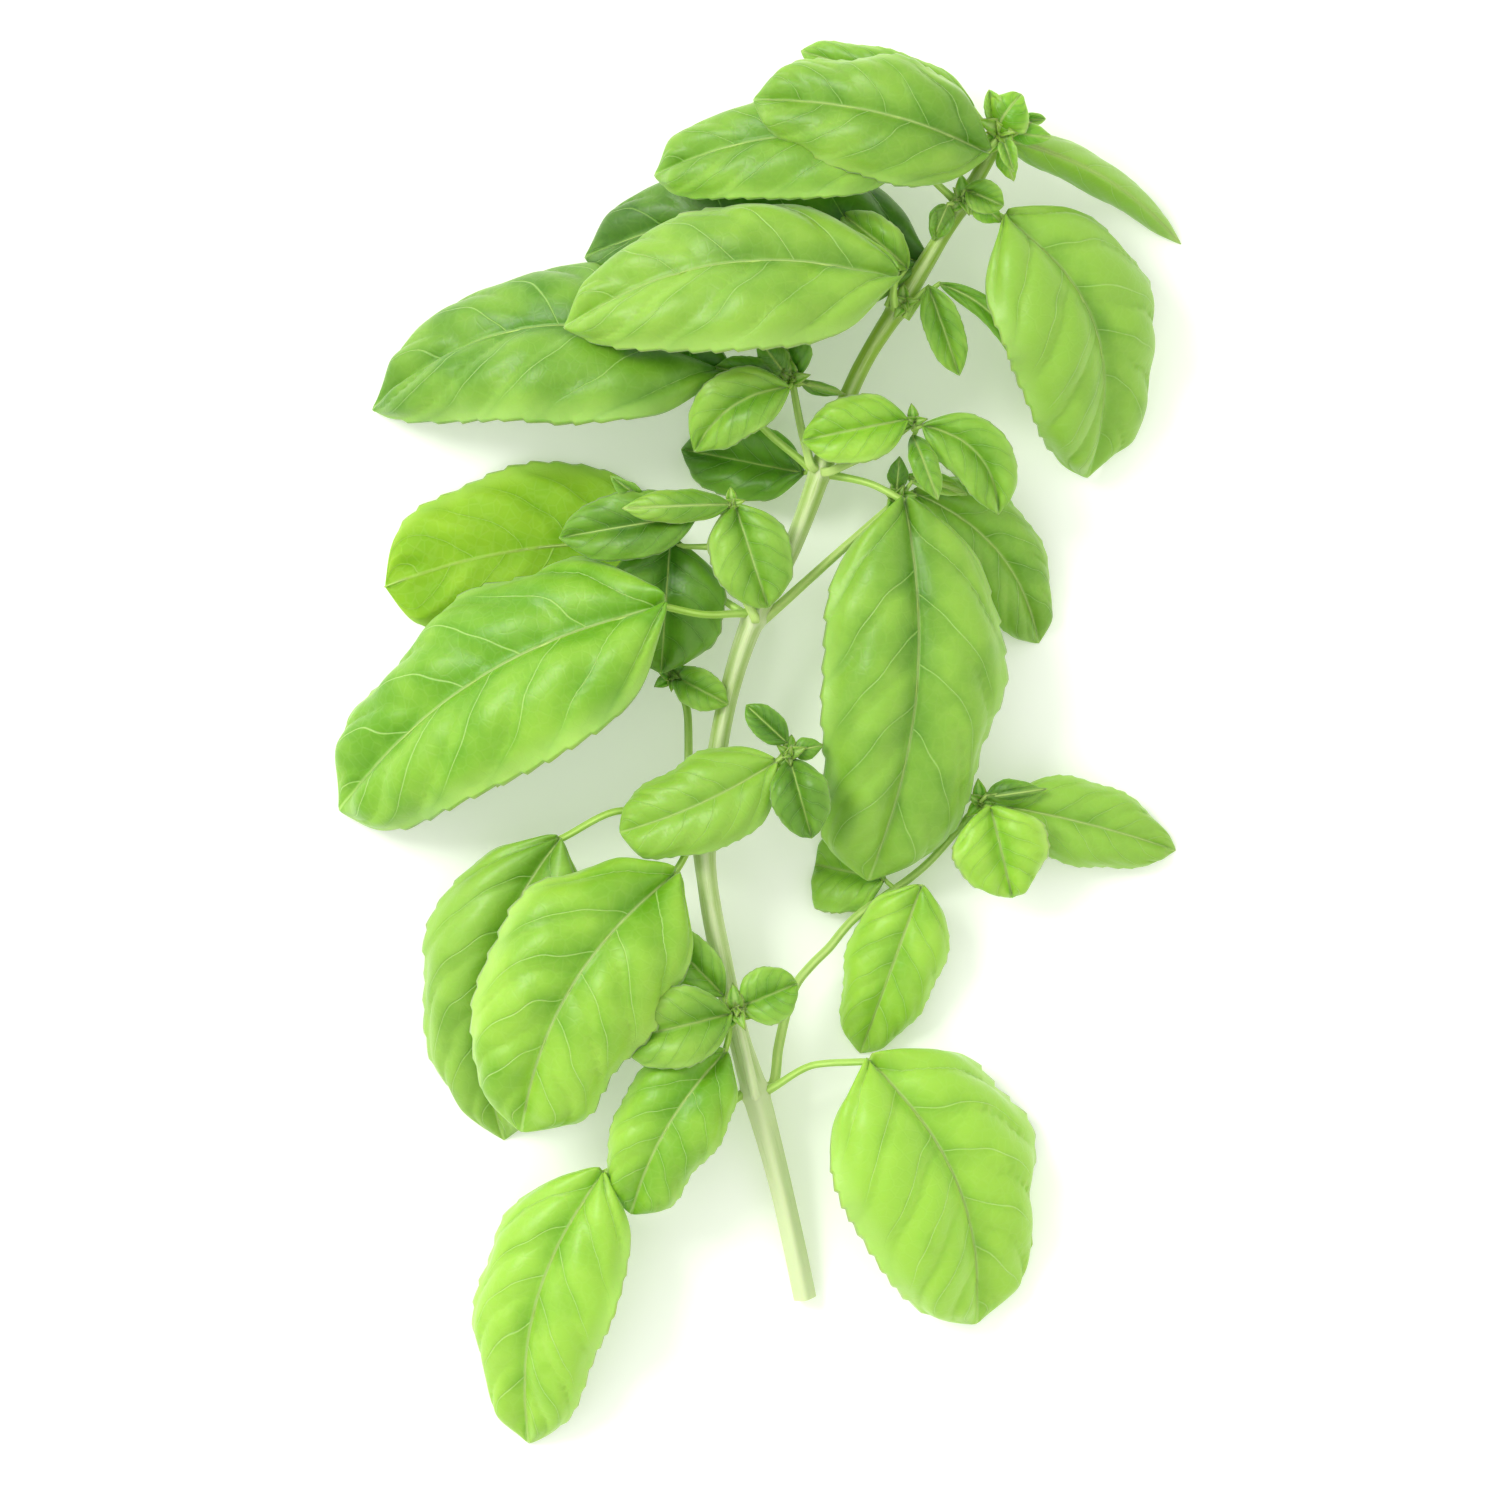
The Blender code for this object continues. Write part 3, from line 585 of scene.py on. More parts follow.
amount = Wire(cloud_group, big.outputs[0]).rising(0.3, 0.7) * 0.5 + Wire(cloud_group, inside.outputs["Shift"])
amount = amount + (Wire(cloud_group, fine.outputs[0]) - 0.5) * 0.16
blend = add_node(cloud_group, "ShaderNodeMix", {0: amount, 6: inside.outputs["Dark"],
                                               7: inside.outputs["Light"]}, data_type="RGBA")
cloud_group.links.new(blend.outputs[2], outside.inputs["Color"])
cloud_group.links.new(fine.outputs[0], outside.inputs["Fine"])
print("cloudy green has", len(cloud_group.nodes), "nodes")


# %% Skin of a blade
def blade_skin(name, dark, light, vein, rough, underside=False):
    """A material for one side of a blade. dark and light are the two greens, vein the lines' own colour."""
    made = bpy.data.materials.new(name)
    made.use_nodes = True
    tree = made.node_tree
    skin = tree.nodes["Principled BSDF"]
    net = add_node(tree, "ShaderNodeGroup", node_tree=vein_group)
    set_inputs(net, {"Net Size": 2.1})
    # The quilt term paints the green lighter on the puffs between the side veins, as painted light on the quilting.
    shift = named_number(tree, "tint") + Wire(tree, net.outputs["Quilt"]) * 0.15
    # The vein net's Shade output is painted shade by the midrib and the side veins, and painted light towards the
    # rims.
    shift = shift - Wire(tree, net.outputs["Shade"]) * 0.5
    cloud = add_node(tree, "ShaderNodeGroup", node_tree=cloud_group)
    set_inputs(cloud, {"Dark": (*dark, 1), "Light": (*light, 1)})
    tree.links.new(shift.socket, cloud.inputs["Shift"])
    lines = Wire(tree, net.outputs["Veins"]) * (0.36 if underside else 0.5)
    lines = lines + Wire(tree, net.outputs["Net"]) * (0.09 if underside else 0.05)
    # Towards each rim the green goes over to the pale vein colour: partly the thin margin's own paler green, partly
    # a painted sheen on the rim.
    rim = named_number(tree, "across").math("ABSOLUTE").rising(0.72, 1.02) * 0.38
    lines = lines.math("MAXIMUM", rim)
    colour = add_node(tree, "ShaderNodeMix", {0: lines, 6: cloud.outputs["Color"], 7: (*vein, 1)},
                      data_type="RGBA")
    tree.links.new(colour.outputs[2], skin.inputs["Base Color"])
    dull = (Wire(tree, cloud.outputs["Fine"]) - 0.5) * 0.18 + rough + Wire(tree, net.outputs["Veins"]) * 0.12
    tree.links.new(dull.socket, skin.inputs["Roughness"])
    height = Wire(tree, net.outputs["Height"]) * (-1.0 if underside else 1.0)
    height = height + (Wire(tree, cloud.outputs["Fine"]) - 0.5) * 0.1
    bump = add_node(tree, "ShaderNodeBump", {"Height": height, "Strength": 0.7, "Distance": 0.00025})
    tree.links.new(bump.outputs[0], skin.inputs["Normal"])
    set_inputs(skin, {
        "Specular IOR Level": 0.2 if underside else 0.42, "Sheen Weight": 0.25, "Sheen Roughness": 0.35,
        "Sheen Tint": (0.9, 1.0, 0.82, 1), "Subsurface Weight": 0.45, "Subsurface Radius": (0.5, 1.0, 0.15),
        "Subsurface Scale": 0.0012})
    return made


PALE_VEIN = (0.55, 0.78, 0.24)
# The three upper greens are lighter and darker copies of one leaf skin: partly the real difference between younger
# and older leaves, partly painted light on leaves that light shines through and painted shade on leaves that lie in
# the shade of others.
upper_skin = {
    "leaf_light": blade_skin("leaf_light", (0.13, 0.34, 0.003), (0.33, 0.58, 0.050), PALE_VEIN, 0.42),
    "leaf_mid": blade_skin("leaf_mid", (0.085, 0.24, 0.003), (0.26, 0.47, 0.045), (0.44, 0.66, 0.18), 0.42),
    "leaf_dark": blade_skin("leaf_dark", (0.040, 0.14, 0.002), (0.15, 0.32, 0.020), (0.30, 0.50, 0.10), 0.42),
}
lower_skin = blade_skin("leaf_underside", (0.19, 0.40, 0.006), (0.32, 0.54, 0.03), (0.50, 0.72, 0.18), 0.6,
                        underside=True)
print(len(bpy.data.materials), "materials so far")


# %% Skin of the stems and stalks
def stem_skin(name, hollow, ridge, bright, fading):
    """A streaked material. hollow is the colour between the ribs and ridge that on them, a painted highlight;
    fading towards the tip.
    """
    made = bpy.data.materials.new(name)
    made.use_nodes = True
    tree = made.node_tree
    skin = tree.nodes["Principled BSDF"]
    rib = named_number(tree, "rib")
    run = named_number(tree, "run")
    thread = add_node(tree, "ShaderNodeCombineXYZ", {"X": rib * 2.2, "Y": run * 60.0, "Z": 0.0})
    streak = add_node(tree, "ShaderNodeTexNoise", {"Vector": thread.outputs[0], "Scale": 2.6, "Detail": 3.0})
    cloud = add_node(tree, "ShaderNodeGroup", node_tree=cloud_group)
    set_inputs(cloud, {"Dark": (*hollow, 1), "Light": (*ridge, 1), "Patch Size": 0.03})
    joint = named_number(tree, "joint")
    # rib * 0.25 paints the ribs lighter and the hollows between them darker, a painted highlight and painted shade;
    # the noise streaks are the stem's own.
    shift = rib * 0.25 + (Wire(tree, streak.outputs[0]) - 0.5) * 1.2 + bright - run * fading + joint * 0.45
    tree.links.new(shift.socket, cloud.inputs["Shift"])
    tree.links.new(cloud.outputs["Color"], skin.inputs["Base Color"])
    dull = (Wire(tree, cloud.outputs["Fine"]) - 0.5) * 0.2 + 0.42
    tree.links.new(dull.socket, skin.inputs["Roughness"])
    height = Wire(tree, streak.outputs[0]) + Wire(tree, cloud.outputs["Fine"]) * 0.3
    bump = add_node(tree, "ShaderNodeBump", {"Height": height, "Strength": 0.5, "Distance": 0.0002})
    tree.links.new(bump.outputs[0], skin.inputs["Normal"])
    set_inputs(skin, {"Specular IOR Level": 0.25, "Subsurface Weight": 0.3,
                      "Subsurface Radius": (0.7, 1.0, 0.3), "Subsurface Scale": 0.002})
    return made


main_skin = stem_skin("stem_skin", (0.29, 0.48, 0.045), (0.66, 0.76, 0.42), 1.0, 5.3)
shoot_skin = stem_skin("shoot_skin", (0.20, 0.40, 0.03), (0.50, 0.68, 0.20), 0.65, 9.0)
rib_skin = stem_skin("stalk_and_midrib", (0.27, 0.48, 0.04), (0.54, 0.79, 0.20), 0.2, -4.0)
print(len(bpy.data.materials), "materials in all")

# %% [markdown]
# ## Growing the leaves
# Each leaf gets its sheet and its midrib path from its solid, then goes through the leaf tree once. The result is
# made a plain mesh, which takes the solid's place. "tint" says how light a leaf's green is: young leaves are
# lighter, and leaves that face the lamp are painted lighter as well, which is painted light.


# %% Helpers that make plain meshes
def carrier(name, points, edges, faces, numbers, vectors=()):
    """An object whose mesh carries named numbers and vectors at its points."""
    mesh = bpy.data.meshes.new(name)
    mesh.from_pydata([tuple(p) for p in points], edges, faces)
    for key, values in numbers.items():
        mesh.attributes.new(key, "FLOAT", "POINT").data.foreach_set("value", np.asarray(values, np.float32))
    for key, values in dict(vectors).items():
        layer = mesh.attributes.new(key, "FLOAT_VECTOR", "POINT")
        layer.data.foreach_set("vector", np.asarray(values, np.float32).ravel())
    made = bpy.data.objects.new(name, mesh)
    bpy.context.scene.collection.objects.link(made)
    return made


def grown(base, tree, values):
    """A new object with a plain mesh: base after the tree, with the tree's inputs set by name."""
    modifier = base.modifiers.new("grow", "NODES")
    modifier.node_group = tree
    for item in tree.interface.items_tree:
        if item.item_type == "SOCKET" and item.in_out == "INPUT" and item.name in values:
            modifier[item.identifier] = values[item.name]
    name = base.name
    graph = bpy.context.evaluated_depsgraph_get()
    mesh = bpy.data.meshes.new_from_object(base.evaluated_get(graph), depsgraph=graph)
    bpy.data.objects.remove(base)
    made = bpy.data.objects.new(name, mesh)
    mesh.name = name
    bpy.context.scene.collection.objects.link(made)
    return made


def path_carrier(name, points, radii, **more):
    """An object whose mesh is one line of points, each with its radius and any more numbers that are named."""
    links = [(i, i + 1) for i in range(len(points) - 1)]
    return carrier(name, points, links, [], {"radius": radii, **more})


# %% A leaf from its columns
DEEPEST_FOOT = 0.95 * MM   # how far a fine stalk goes on past its solid's foot
RIB_PROUD = 0.26 * MM      # how far the midrib's top lies above the blade's middle sheet
LEAST_RIB = 0.16 * MM
BIG_BLADE = 30 * MM        # blades longer than this get more columns, veins and teeth
UNDERSIDE_UP = {"leaf_3_left_back"}
# TINT is partly each leaf's own green and partly painted light and shade: leaves that face the lamp are painted
# lighter and leaves that lie in shade darker.
TINT = {"leaf_1_left": 0.6, "leaf_1_right": 0.75, "leaf_2_left_inner": 0.25, "leaf_2_left_outer": 0.55,
        "shoot_1_left_leaf_down": 0.2, "leaf_3_left_front": -0.1, "leaf_3_left_back": 0.05, "leaf_4_left": 0.0,
        "leaf_4_right": 0.4, "leaf_5_left_front": 0.5, "leaf_5_left_back": 0.0, "leaf_6_left": 0.3,
        "leaf_6_right": 0.75, "leaf_tip_left": 0.25, "leaf_tip_right": 1.2, "shoot_2_right_leaf_left": 0.9,
        "shoot_1_right_leaf_up": 0.6, "shoot_1_right_tip_right": 0.9, "shoot_1_right_tip_down": 0.6,
        "shoot_3_right_leaf_folded": 0.9, "shoot_1_right_leaf_down": 0.6}


def midrib_path(centres, radius, grid, along, dip, facing):
    """Points and radii from inside the stem, along the stalk and under the blade to its tip."""
    back = centres[0] - centres[1]
    inner = centres[0] + back / np.linalg.norm(back) * DEEPEST_FOOT
    middle = grid[:, grid.shape[1] // 2]
    right = grid[:, -2] - grid[:, 1]
    right[0] = right[1]
    right[-1] = right[-2]
    ahead = np.gradient(middle, axis=0)
    up = np.cross(right, ahead)
    up /= np.linalg.norm(up, axis=1)[:, None]
    rib_radius = np.maximum(radius * (1 - along) ** 1.4 * 0.75, LEAST_RIB)
    depth = (rib_radius - RIB_PROUD + dip) * np.clip(along / 0.08, 0, 1) * facing
    under = middle - up * depth[:, None]
    stalk = np.array([inner, *centres[:2], under[0]])
    stops = travelled(stalk)
    fine = np.linspace(0, stops[-1], max(6, round(stops[-1] / MM)))[:-1]
    stalk_points = through(stops, stalk, fine)
    flare = 1 + 0.35 * np.exp(-fine / (2.2 * MM))
    points = np.concatenate([stalk_points, under])
    radii = np.concatenate([radius * 0.92 * flare, rib_radius])
    start = len(stalk_points)
    radii[start:start + 3] = np.linspace(radius * 0.92, rib_radius[3], 3)
    points[:, 2] = np.maximum(points[:, 2], radii)
    return points, radii


def folded(columns, degrees, narrowed):
    """The columns with both halves turned up by degrees about the midrib, and their width multiplied."""
    turn = math.radians(degrees)
    out = columns - columns[:, 2:3]
    ahead = columns[-1, 2] - columns[0, 2]
    up = np.cross(columns[3, 4] - columns[3, 0], ahead)
    up /= np.linalg.norm(up)
    rise = np.linalg.norm(out, axis=2, keepdims=True) * math.sin(turn)
    return columns[:, 2:3] + (out * math.cos(turn) + up * rise) * narrowed


def fuller(columns, factor):
    """The columns with the blade's last part made wider, by factor just before the tip."""
    grow = np.ones(len(columns))
    grow[-2] = factor
    grow[-3] = 1 + (factor - 1) * 0.3
    middle = columns[:, 2:3]
    return middle + (columns - middle) * grow[:, None, None]


def make_leaf(name, stalk, stalk_radius, columns, tint, skins, facing=1):
    """The finished leaf as a new object with a plain mesh."""
    length = np.linalg.norm(columns[-1, 2] - columns[0, 2])
    width = np.linalg.norm(columns[:, 4] - columns[:, 0], axis=1).max()
    big = length > BIG_BLADE
    grid, along, across = blade_sheet(columns, (0.85 if big else 0.55) * MM, 17 if big else 10)
    rows, wide = grid.shape[:2]
    own = (sum(map(ord, name)) * 0.137) % 1.0
    flat = grid[:-1].reshape(-1, 3)
    points = np.concatenate([flat, grid[-1:, 0]])
    last = len(flat)
    faces = [(r * wide + c, r * wide + c + 1, (r + 1) * wide + c + 1, (r + 1) * wide + c)
             for r in range(rows - 2) for c in range(wide - 1)]
    faces += [((rows - 2) * wide + c, (rows - 2) * wide + c + 1, last) for c in range(wide - 1)]
    halves = np.linalg.norm(grid[:, -1] - grid[:, 0], axis=1) / 2
    edge = np.zeros((rows - 1, wide))
    edge[:, 0] = edge[:, -1] = edge[0] = 1
    ways = grid[:-1, -1] - grid[:-1, 0]
    ways = ways / np.linalg.norm(ways, axis=1)[:, None]
    outwards = ways[:, None, :] * np.sign(across)[None, :, None]
    per_point = {
        "along": np.repeat(along[:-1], wide), "across": np.tile(across, rows - 1), "edge": edge.ravel(),
        "half_width": np.repeat(halves[:-1], wide), "blade_length": np.full(last, length),
        "own_number": np.full(last, own), "tint": np.full(last, tint)}
    ending = {"along": 1, "across": 0, "edge": 1, "half_width": 0, "blade_length": length, "own_number": own,
              "tint": tint}
    numbers = {key: np.append(values, ending[key]) for key, values in per_point.items()}
    ends = np.append(outwards.reshape(-1, 3), [[0, 0, 0]], axis=0)
    sheet = carrier(name, points, [], faces, numbers, {"outwards": ends})
    size = min(1.0, width / (40 * MM))
    dip = 0.0007 * max(size, 0.4)
    path = path_carrier(name + "_path", *midrib_path(stalk, stalk_radius, grid, along, dip, facing))
    leaf = grown(sheet, leaf_tree, {
        "Midrib Path": path, "Vein Pairs": 4.7 if big else 4.0,
        "Quilt Height": 0.0009 * size * facing, "Vein Depth": 0.0004 * size * facing,
        "Midrib Dip": dip * facing, "Rim Wave": 0.0012 * size, "Unevenness": 0.0016 * size,
        "Half Bulge": 0.0024 * size, "Tooth Length": 0.0009 * size, "Teeth": 13.0 if big else 8.0,
        "Thickness": 0.00034 if big else 0.00026, "Sides": 14 if big else 10,
        "Upper Skin": skins[0], "Lower Skin": skins[1], "Rib Skin": skins[2]})
    bpy.data.objects.remove(path)
    return leaf


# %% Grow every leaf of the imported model
# BLUNT is what a blade's width is multiplied by just before its tip. Only small leaves are folded: FOLDS has the
# angle in degrees by which each half is turned up, and what the width is multiplied by. Leaves that aren't named
# get the usual values.
BLUNT = {"leaf_3_left_back": 1.6, "leaf_3_left_front": 1.45, "leaf_2_left_inner": 1.6, "leaf_4_right": 1.7,
         "leaf_1_right": 1.35, "leaf_tip_right": 1.0, "leaf_4_left": 1.1, "leaf_5_left_front": 1.1,
         "leaf_6_right": 1.1, "shoot_1_left_leaf_down": 1.7, "shoot_1_right_leaf_up": 1.6,
         "shoot_1_right_tip_right": 0.8, "shoot_1_right_tip_down": 0.95, "shoot_2_right_leaf_left": 1.7}
USUAL_BLUNT, USUAL_SMALL_BLUNT, USUAL_FOLD = 1.3, 1.15, (22, 1.0)
FOLDS = {"bud_leaf_up": (50, 0.85), "bud_leaf_right": (50, 0.7), "bud_leaf_down": (45, 0.75),
         "leaf_6_small_left": (40, 0.9), "leaf_6_small_right": (30, 0.9), "leaf_5_small_right": (35, 0.7),
         "leaf_5_small_down": (30, 0.65), "leaf_5_small_left": (20, 1.0), "shoot_3_left_leaf_down": (10, 1.0)}
triangles = 0
for name in leaf_names:
    rings, tip = leaf_rings(name)
    facing = -1 if name in UNDERSIDE_UP else 1
    skins = (upper_skin[slot_of[name]], lower_skin, rib_skin)
    if facing < 0:
        skins = (lower_skin, upper_skin[slot_of[name]], rib_skin)
    stalk = rings[:STALK_RINGS].mean(1)
    stalk_radius = np.linalg.norm(rings[0] - stalk[0], axis=1).mean()
    columns = middle_columns(rings, tip)
    if len(columns) == len(COARSE_SHARES):
        columns = folded(columns, *FOLDS.get(name, USUAL_FOLD))
    usual = USUAL_BLUNT if len(columns) == len(FINE_SHARES) else USUAL_SMALL_BLUNT
    columns = fuller(columns, BLUNT.get(name, usual))
    leaf = make_leaf("blade_" + name, stalk, stalk_radius, columns, TINT.get(name, 0.4), skins, facing)
    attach(leaf, "root")
    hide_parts(name)
    triangles += sum(len(face.vertices) - 2 for face in leaf.data.polygons)
print(len(leaf_names), "leaves with", triangles, "triangles")

# %% [markdown]
# ## Growing the stems
# A stem's solid has no points at its ends but flat faces, so its rings are read from one flat end to the other.
# The fine stem follows the rings' middles. Basil's stems thicken at each joint, and a low collar shows there.


# %% Centre line and radius of a stem
def stem_line(node):
    """The middles and radii of a stem's rings, from its foot to its thinner end."""
    solid = welded(node)
    solid.normal_update()
    caps, seen = [], set()
    for face in solid.faces:
        if face in seen:
            continue
        patch, queue = {face}, [face]
        while queue:
            current = queue.pop()
            for edge in current.edges:
                for beside in edge.link_faces:
                    if beside not in patch and beside.normal.dot(face.normal) > 0.99995:
                        patch.add(beside)
                        queue.append(beside)
        seen |= patch
        corners = {vert for member in patch for vert in member.verts}
        if len(corners) != SIDES:
            continue
        places = np.array([vert.co[:] for vert in corners])
        spread = np.linalg.norm(places - places.mean(0), axis=1)
        if spread.std() < 0.05 * spread.mean():
            caps.append(corners)
    layers = layers_from(caps[0])
    places = [np.array([vert.co[:] for vert in layer]) for layer in layers]
    solid.free()
    middles = np.array([place.mean(0) for place in places])
    radii = np.array([np.linalg.norm(place - place.mean(0), axis=1).mean() for place in places])
    if radii[0] < radii[-1]:
        middles, radii = middles[::-1], radii[::-1]
    return middles, radii


CLEAR_SWELLING = 1.06   # a ring more than this many times as wide as both its neighbours is a joint
FINE_PLACES = 600
main_line, main_radii = stem_line("main_stem")
main_stops = travelled(main_line)
fine_main_line = through(main_stops, main_line, np.linspace(0, main_stops[-1], FINE_PLACES))
peaks = [i for i in range(1, len(main_radii) - 1)
         if main_radii[i] > CLEAR_SWELLING * max(main_radii[i - 1], main_radii[i + 1])]


# %% Grow every stem
COLLAR_REACH = 1.3 * MM     # along the stem
COLLAR_SWELL = 0.17         # share of the radius that a joint's collar adds
STEM_STEP = 0.8 * MM        # between the fine stem's rings
RIB_SHARE = 0.09            # how far the ribs stand out, as a share of the radius
FOOT_START = 0.5            # where a shoot's foot starts: 0 is the main stem's middle line, 1 the solid's foot
IN_MAIN_SKIN = {"main_stem", "shoot_1_left"}
STRAIGHTENED = {"shoot_3_right": 8}   # rounds of averaging that smooth the shoot's line


def make_stem(name, middles, radii, joints, sides, skin):
    """The finished stem as a new object. joints are the numbers of the rings that have a collar."""
    stops = travelled(middles)
    fine = np.linspace(0, stops[-1], max(8, round(stops[-1] / STEM_STEP)))
    points = through(stops, middles, fine)
    widths = through(stops, radii[:, None], fine)[:, 0]
    collar = np.zeros(len(fine))
    for stop in stops[joints]:
        collar = collar + np.exp(-((fine - stop) / COLLAR_REACH) ** 2)
    base = path_carrier(name, points, widths * (1 + COLLAR_SWELL * collar), joint=collar)
    return grown(base, stem_tree, {"Sides": sides, "Rib Height": RIB_SHARE, "Skin": skin})


for name in stem_names:
    middles, radii = stem_line(name)
    joints, sides = peaks, 40
    if name != "main_stem":
        nearest = fine_main_line[np.argmin(np.linalg.norm(fine_main_line - middles[0], axis=1))]
        middles = np.concatenate([[nearest + (middles[0] - nearest) * FOOT_START], middles])
        radii = np.concatenate([radii[:1], radii])
        joints, sides = [], 20
        for _ in range(STRAIGHTENED.get(name, 0)):
            middles[1:-1] = (middles[:-2] + 2 * middles[1:-1] + middles[2:]) / 4
    made = make_stem("fine_" + name, middles, radii, joints, sides,
                     main_skin if name in IN_MAIN_SKIN else shoot_skin)
    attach(made, "root")
    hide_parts(name)
    print(made.name, len(made.data.polygons), "faces")

# %% [markdown]
# ## Small leaves and buds
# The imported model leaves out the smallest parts, which weigh nothing. They're added here for the eye only: folded
# young leaves near the shoots' tips, and the rosettes of buds. In a rosette each leaflet stands a golden angle
# round from the one before it, and the inner ones are smaller and more upright. That is a rule, so it's a node
# tree: points carry one leaflet each, turned and scaled by its number.

# %% Young leaves
SMALL_SHAPE = (0.0, 0.34, 0.80, 1.0, 0.84, 0.46, 0.0)   # share of the full width at each of COARSE_SHARES
SMALL_STALK_RADIUS = 0.45 * MM


def young_leaf(name, root, foot, tip, width, arch, fold, roll, shade, tint):
    """A small leaf from root, on the stem, by foot, where the blade starts, to tip.

    Lengths are in mm and angles in degrees.
    """
    root, foot, tip = (np.array(place, float) * MM for place in (root, foot, tip))
    ahead = tip - foot
    aside = np.cross(ahead, (0, 0, 1))
    aside /= np.linalg.norm(aside)
    up = np.cross(aside, ahead / np.linalg.norm(ahead))
    turn = math.radians(roll)
    aside, up = (aside * math.cos(turn) + up * math.sin(turn),
                 up * math.cos(turn) - aside * math.sin(turn))
    rise = math.radians(fold)
    rows = []
    for share, shape in zip(COARSE_SHARES, SMALL_SHAPE):
        middle = foot + ahead * share + up * arch * MM * 4 * share * (1 - share)
        half = shape * width / 2 * MM
        rows.append([middle + aside * half * step * math.cos(rise) + up * half * abs(step) * math.sin(rise)
                     for step in ACROSS])
    stalk = np.array([root, (root + foot) / 2 + up * 0.3 * MM, foot])
    leaf = make_leaf(name, stalk, SMALL_STALK_RADIUS, np.array(rows), tint,
                     (upper_skin[shade], lower_skin, rib_skin))
    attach(leaf, "root")


YOUNG = (
    # name, root, foot, tip, width, arch, fold, roll, shade, tint
    ("young_3_left", (-20, 47.5, 24), (-23, 49, 24.5), (-29.5, 53.5, 26), 4.5, 0.5, 25, 20, "leaf_dark", 0.5),
    ("young_tip_up", (47, 120.5, 25), (46.5, 121.5, 27), (51.5, 128.5, 28), 11, 2.5, -20, 10, "leaf_light", 0.0),
    ("young_tip_right", (47, 120.5, 25), (49, 121.5, 26.5), (57.5, 120.3, 25.5), 5.5, 2, -30, -15,
     "leaf_light", 0.1),
    ("young_tip_down", (47, 120, 25), (47.5, 118, 27), (50, 111.5, 25), 5, 1.5, -30, 0, "leaf_light", 0.3),
    ("young_6_right", (40, 107, 24), (42, 107.5, 26), (47.5, 103.5, 24), 6, 1.5, -30, 10, "leaf_light", 0.3),
    ("young_6_left", (39, 107.5, 24), (37, 107, 26), (34, 100, 23), 6, 1.0, -30, 0, "leaf_dark", 0.7),
    ("young_2_right", (27, 48.6, 18.5), (30, 52.5, 20), (41, 50.0, 17), 5, 1.5, 20, 20, "leaf_mid", 0.5),
    ("young_2_up", (27, 48.6, 18.5), (27, 51, 20), (27.5, 57.5, 22), 5, 1.0, -30, 0, "leaf_dark", 0.5),
    ("young_beneath", (-49, 5, 4), (-50, 3, 4), (-52.5, -8, 2.5), 7, 1.0, -10, 0, "leaf_light", 0.5),
    ("young_1_right", (43.6, -11, 9.5), (45, -9.5, 11.5), (55.5, -8.0, 12), 6, 1.5, -25, 0, "leaf_dark", 0.8),
    ("young_1_left", (5.4, -1.6, 22.5), (6.5, -0.8, 23.5), (12.5, 0.5, 23.5), 5, 1.0, -20, 0, "leaf_dark", 0.7),
    ("young_4_left", (6.4, 72, 22.5), (5, 73.5, 24), (-0.5, 80.5, 25), 7, 1.5, -25, 0, "leaf_mid", 0.2),
    ("young_4_across", (6.4, 72, 22.5), (8, 71.8, 24), (15.5, 69.5, 22), 3.5, 1.0, -35, 0, "leaf_dark", 0.5),
)
for row in YOUNG:
    young_leaf(*row)
print(len(YOUNG), "young leaves")


# %% Leaflet for the rosettes
def leaflet_mesh():
    """A folded, arched leaflet, one unit long, closed and thin. 40 faces."""
    rows, columns = 6, 5
    points = []
    numbers = {key: [] for key in ("along", "across", "half_width", "blade_length", "own_number", "tint")}
    for way in (1, -1):
        for r in range(rows):
            t = r / (rows - 1)
            half = 0.3 * math.sin(math.pi * min(1.0, 0.06 + 0.94 * t) ** 0.8) + 0.01
            for c in range(columns):
                x = -1 + 2 * c / (columns - 1)
                thick = 0.0 if abs(x) == 1 or r in (0, rows - 1) else 0.02
                fold, arch = abs(x) * half * 0.55, t * (1 - t) - 0.1 * t
                points.append((x * half, t, fold + arch + way * thick))
                for key, value in zip(numbers, (t, x, 0.001, 0.005, 0.3, 0.2)):
                    numbers[key].append(value)
    each = rows * columns
    faces = []
    for r in range(rows - 1):
        for c in range(columns - 1):
            a = r * columns + c
            faces.append((a, a + 1, a + columns + 1, a + columns))
            faces.append((each + a, each + a + columns, each + a + columns + 1, each + a + 1))
    return points, faces, numbers


leaflet_points, leaflet_faces, leaflet_numbers = leaflet_mesh()
leaflet = carrier("leaflet", leaflet_points, [], leaflet_faces, leaflet_numbers)
print("a leaflet has", len(leaflet_faces), "faces")

# %% Rosette tree
GOLDEN = math.pi * (3 - math.sqrt(5))
bud_tree = bpy.data.node_groups.new("bud_rosette", "GeometryNodeTree")
inside, outside = add_sockets(bud_tree, (
    ("Geometry", "OUTPUT", "Geometry", None), ("Points", "INPUT", "Geometry", None),
    ("Leaflet", "INPUT", "Object", None), ("Leaflets", "INPUT", "Int", 9), ("Size", "INPUT", "Float", 0.005),
    ("Seed", "INPUT", "Int", 1), ("Skin", "INPUT", "Material", None)))
spots = add_node(bud_tree, "GeometryNodePoints", {"Count": inside.outputs["Leaflets"]})
number = Wire(bud_tree, add_node(bud_tree, "GeometryNodeInputIndex").outputs[0])
inner = number / Wire(bud_tree, inside.outputs["Leaflets"])
chance = add_node(bud_tree, "FunctionNodeRandomValue", {"Min": -1.0, "Max": 1.0,
                                                        "Seed": inside.outputs["Seed"]}, data_type="FLOAT")
luck = Wire(bud_tree, chance.outputs[1])
turned = add_node(bud_tree, "ShaderNodeCombineXYZ", {"X": inner * 1.25 + luck * 0.25, "Y": 0.0,
                                                     "Z": number * GOLDEN + luck * 0.3})
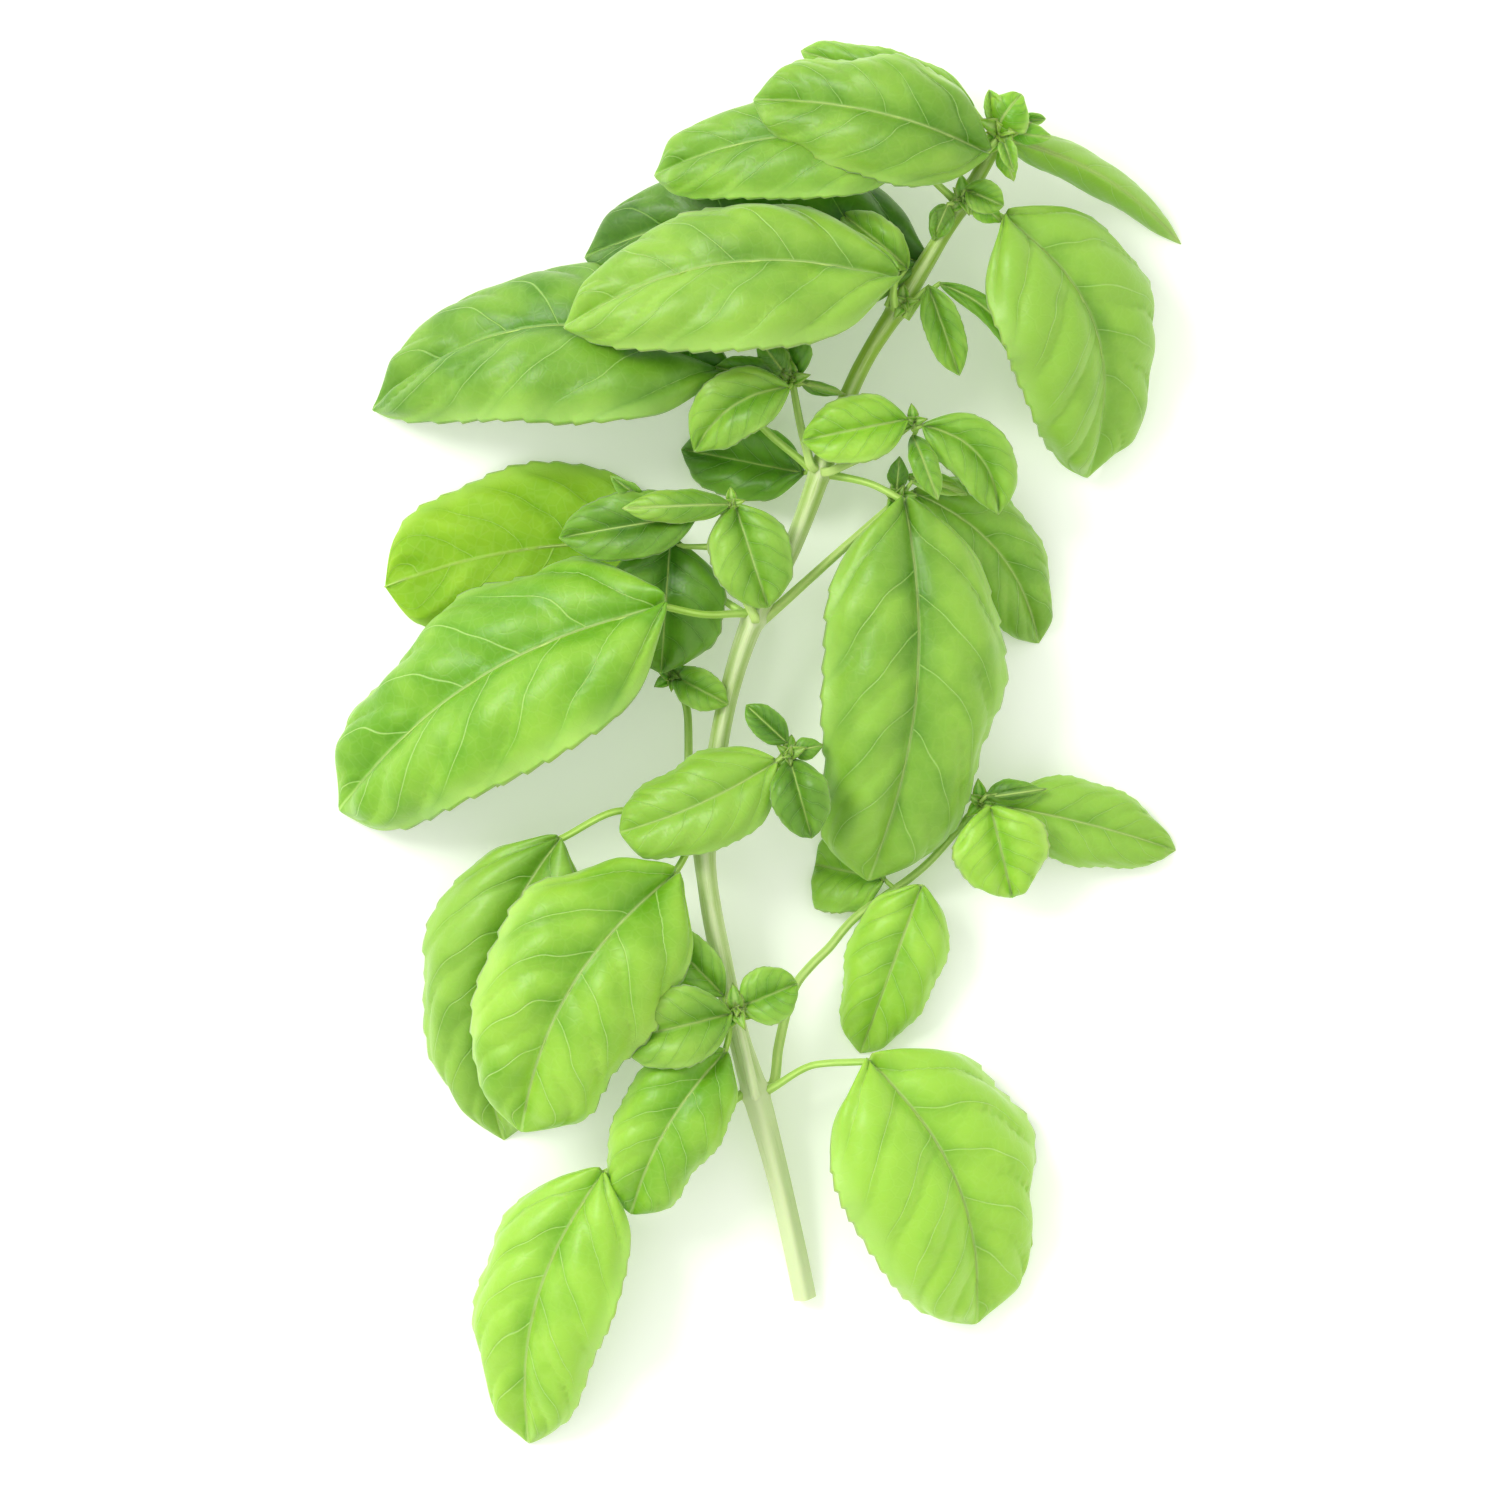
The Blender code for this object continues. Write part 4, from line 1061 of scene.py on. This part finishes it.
as_rotation = add_node(bud_tree, "FunctionNodeEulerToRotation", {"Euler": turned.outputs[0]})
scale = (inner * -0.6 + 1.0 + luck * 0.15) * Wire(bud_tree, inside.outputs["Size"])
shape = add_node(bud_tree, "GeometryNodeObjectInfo", {"Object": inside.outputs["Leaflet"]})
set_out = add_node(bud_tree, "GeometryNodeInstanceOnPoints", {
    "Points": spots.outputs[0], "Instance": shape.outputs["Geometry"], "Rotation": as_rotation.outputs[0],
    "Scale": scale})
real = add_node(bud_tree, "GeometryNodeRealizeInstances", {"Geometry": set_out.outputs[0]})
merged = add_node(bud_tree, "GeometryNodeMergeByDistance", {"Geometry": real.outputs[0], "Distance": 1e-6})
smooth = add_node(bud_tree, "GeometryNodeSetShadeSmooth", {"Geometry": merged.outputs[0]})
whole = add_node(bud_tree, "GeometryNodeRealizeInstances", {"Geometry": smooth.outputs[0]})
painted = add_node(bud_tree, "GeometryNodeSetMaterial", {
    "Geometry": whole.outputs[0], "Material": inside.outputs["Skin"]})
bud_tree.links.new(painted.outputs[0], outside.inputs["Geometry"])
print("rosette tree has", len(bud_tree.nodes), "nodes")

# %% Rosettes
ROSETTES = (
    # name, place in mm, size in mm, leaflets, seed, shade
    ("buds_tip", (47.6, 121.3, 25.5), 6.5, 11, 3, "leaf_light"),
    ("buds_6", (40.2, 107.8, 24.5), 5.0, 9, 4, "leaf_mid"),
    ("buds_3_right", (27.2, 49.4, 19.0), 5.0, 9, 5, "leaf_mid"),
    ("buds_1_right", (43.8, -10.8, 9.5), 4.5, 8, 6, "leaf_mid"),
    ("buds_1_left", (-4.6, -52.3, 20.6), 5.5, 10, 7, "leaf_mid"),
    ("buds_2_right", (5.6, -1.4, 22.8), 4.5, 8, 8, "leaf_mid"),
    ("buds_2_left", (-17.4, 14.2, 13.0), 5.5, 9, 9, "leaf_dark"),
    ("buds_5", (28.4, 87.6, 22.4), 4.0, 7, 10, "leaf_mid"),
    ("buds_3_left", (-5.6, 47.9, 24.4), 3.5, 7, 11, "leaf_light"),
    ("buds_4_left", (6.2, 72.4, 23.0), 4.5, 8, 12, "leaf_mid"),
    ("buds_4_right", (30.3, 64.2, 23.4), 3.5, 7, 13, "leaf_mid"),
)
for name, place, size, count, seed, shade in ROSETTES:
    base = carrier(name, [(0, 0, 0)], [], [], {})
    buds = grown(base, bud_tree, {"Leaflet": leaflet, "Leaflets": count, "Size": size * MM, "Seed": seed,
                                  "Skin": upper_skin[shade]})
    buds.data.transform(Matrix.Translation(np.array(place) * MM))
    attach(buds, "root")
bpy.data.objects.remove(leaflet)
print(len(ROSETTES), "rosettes")
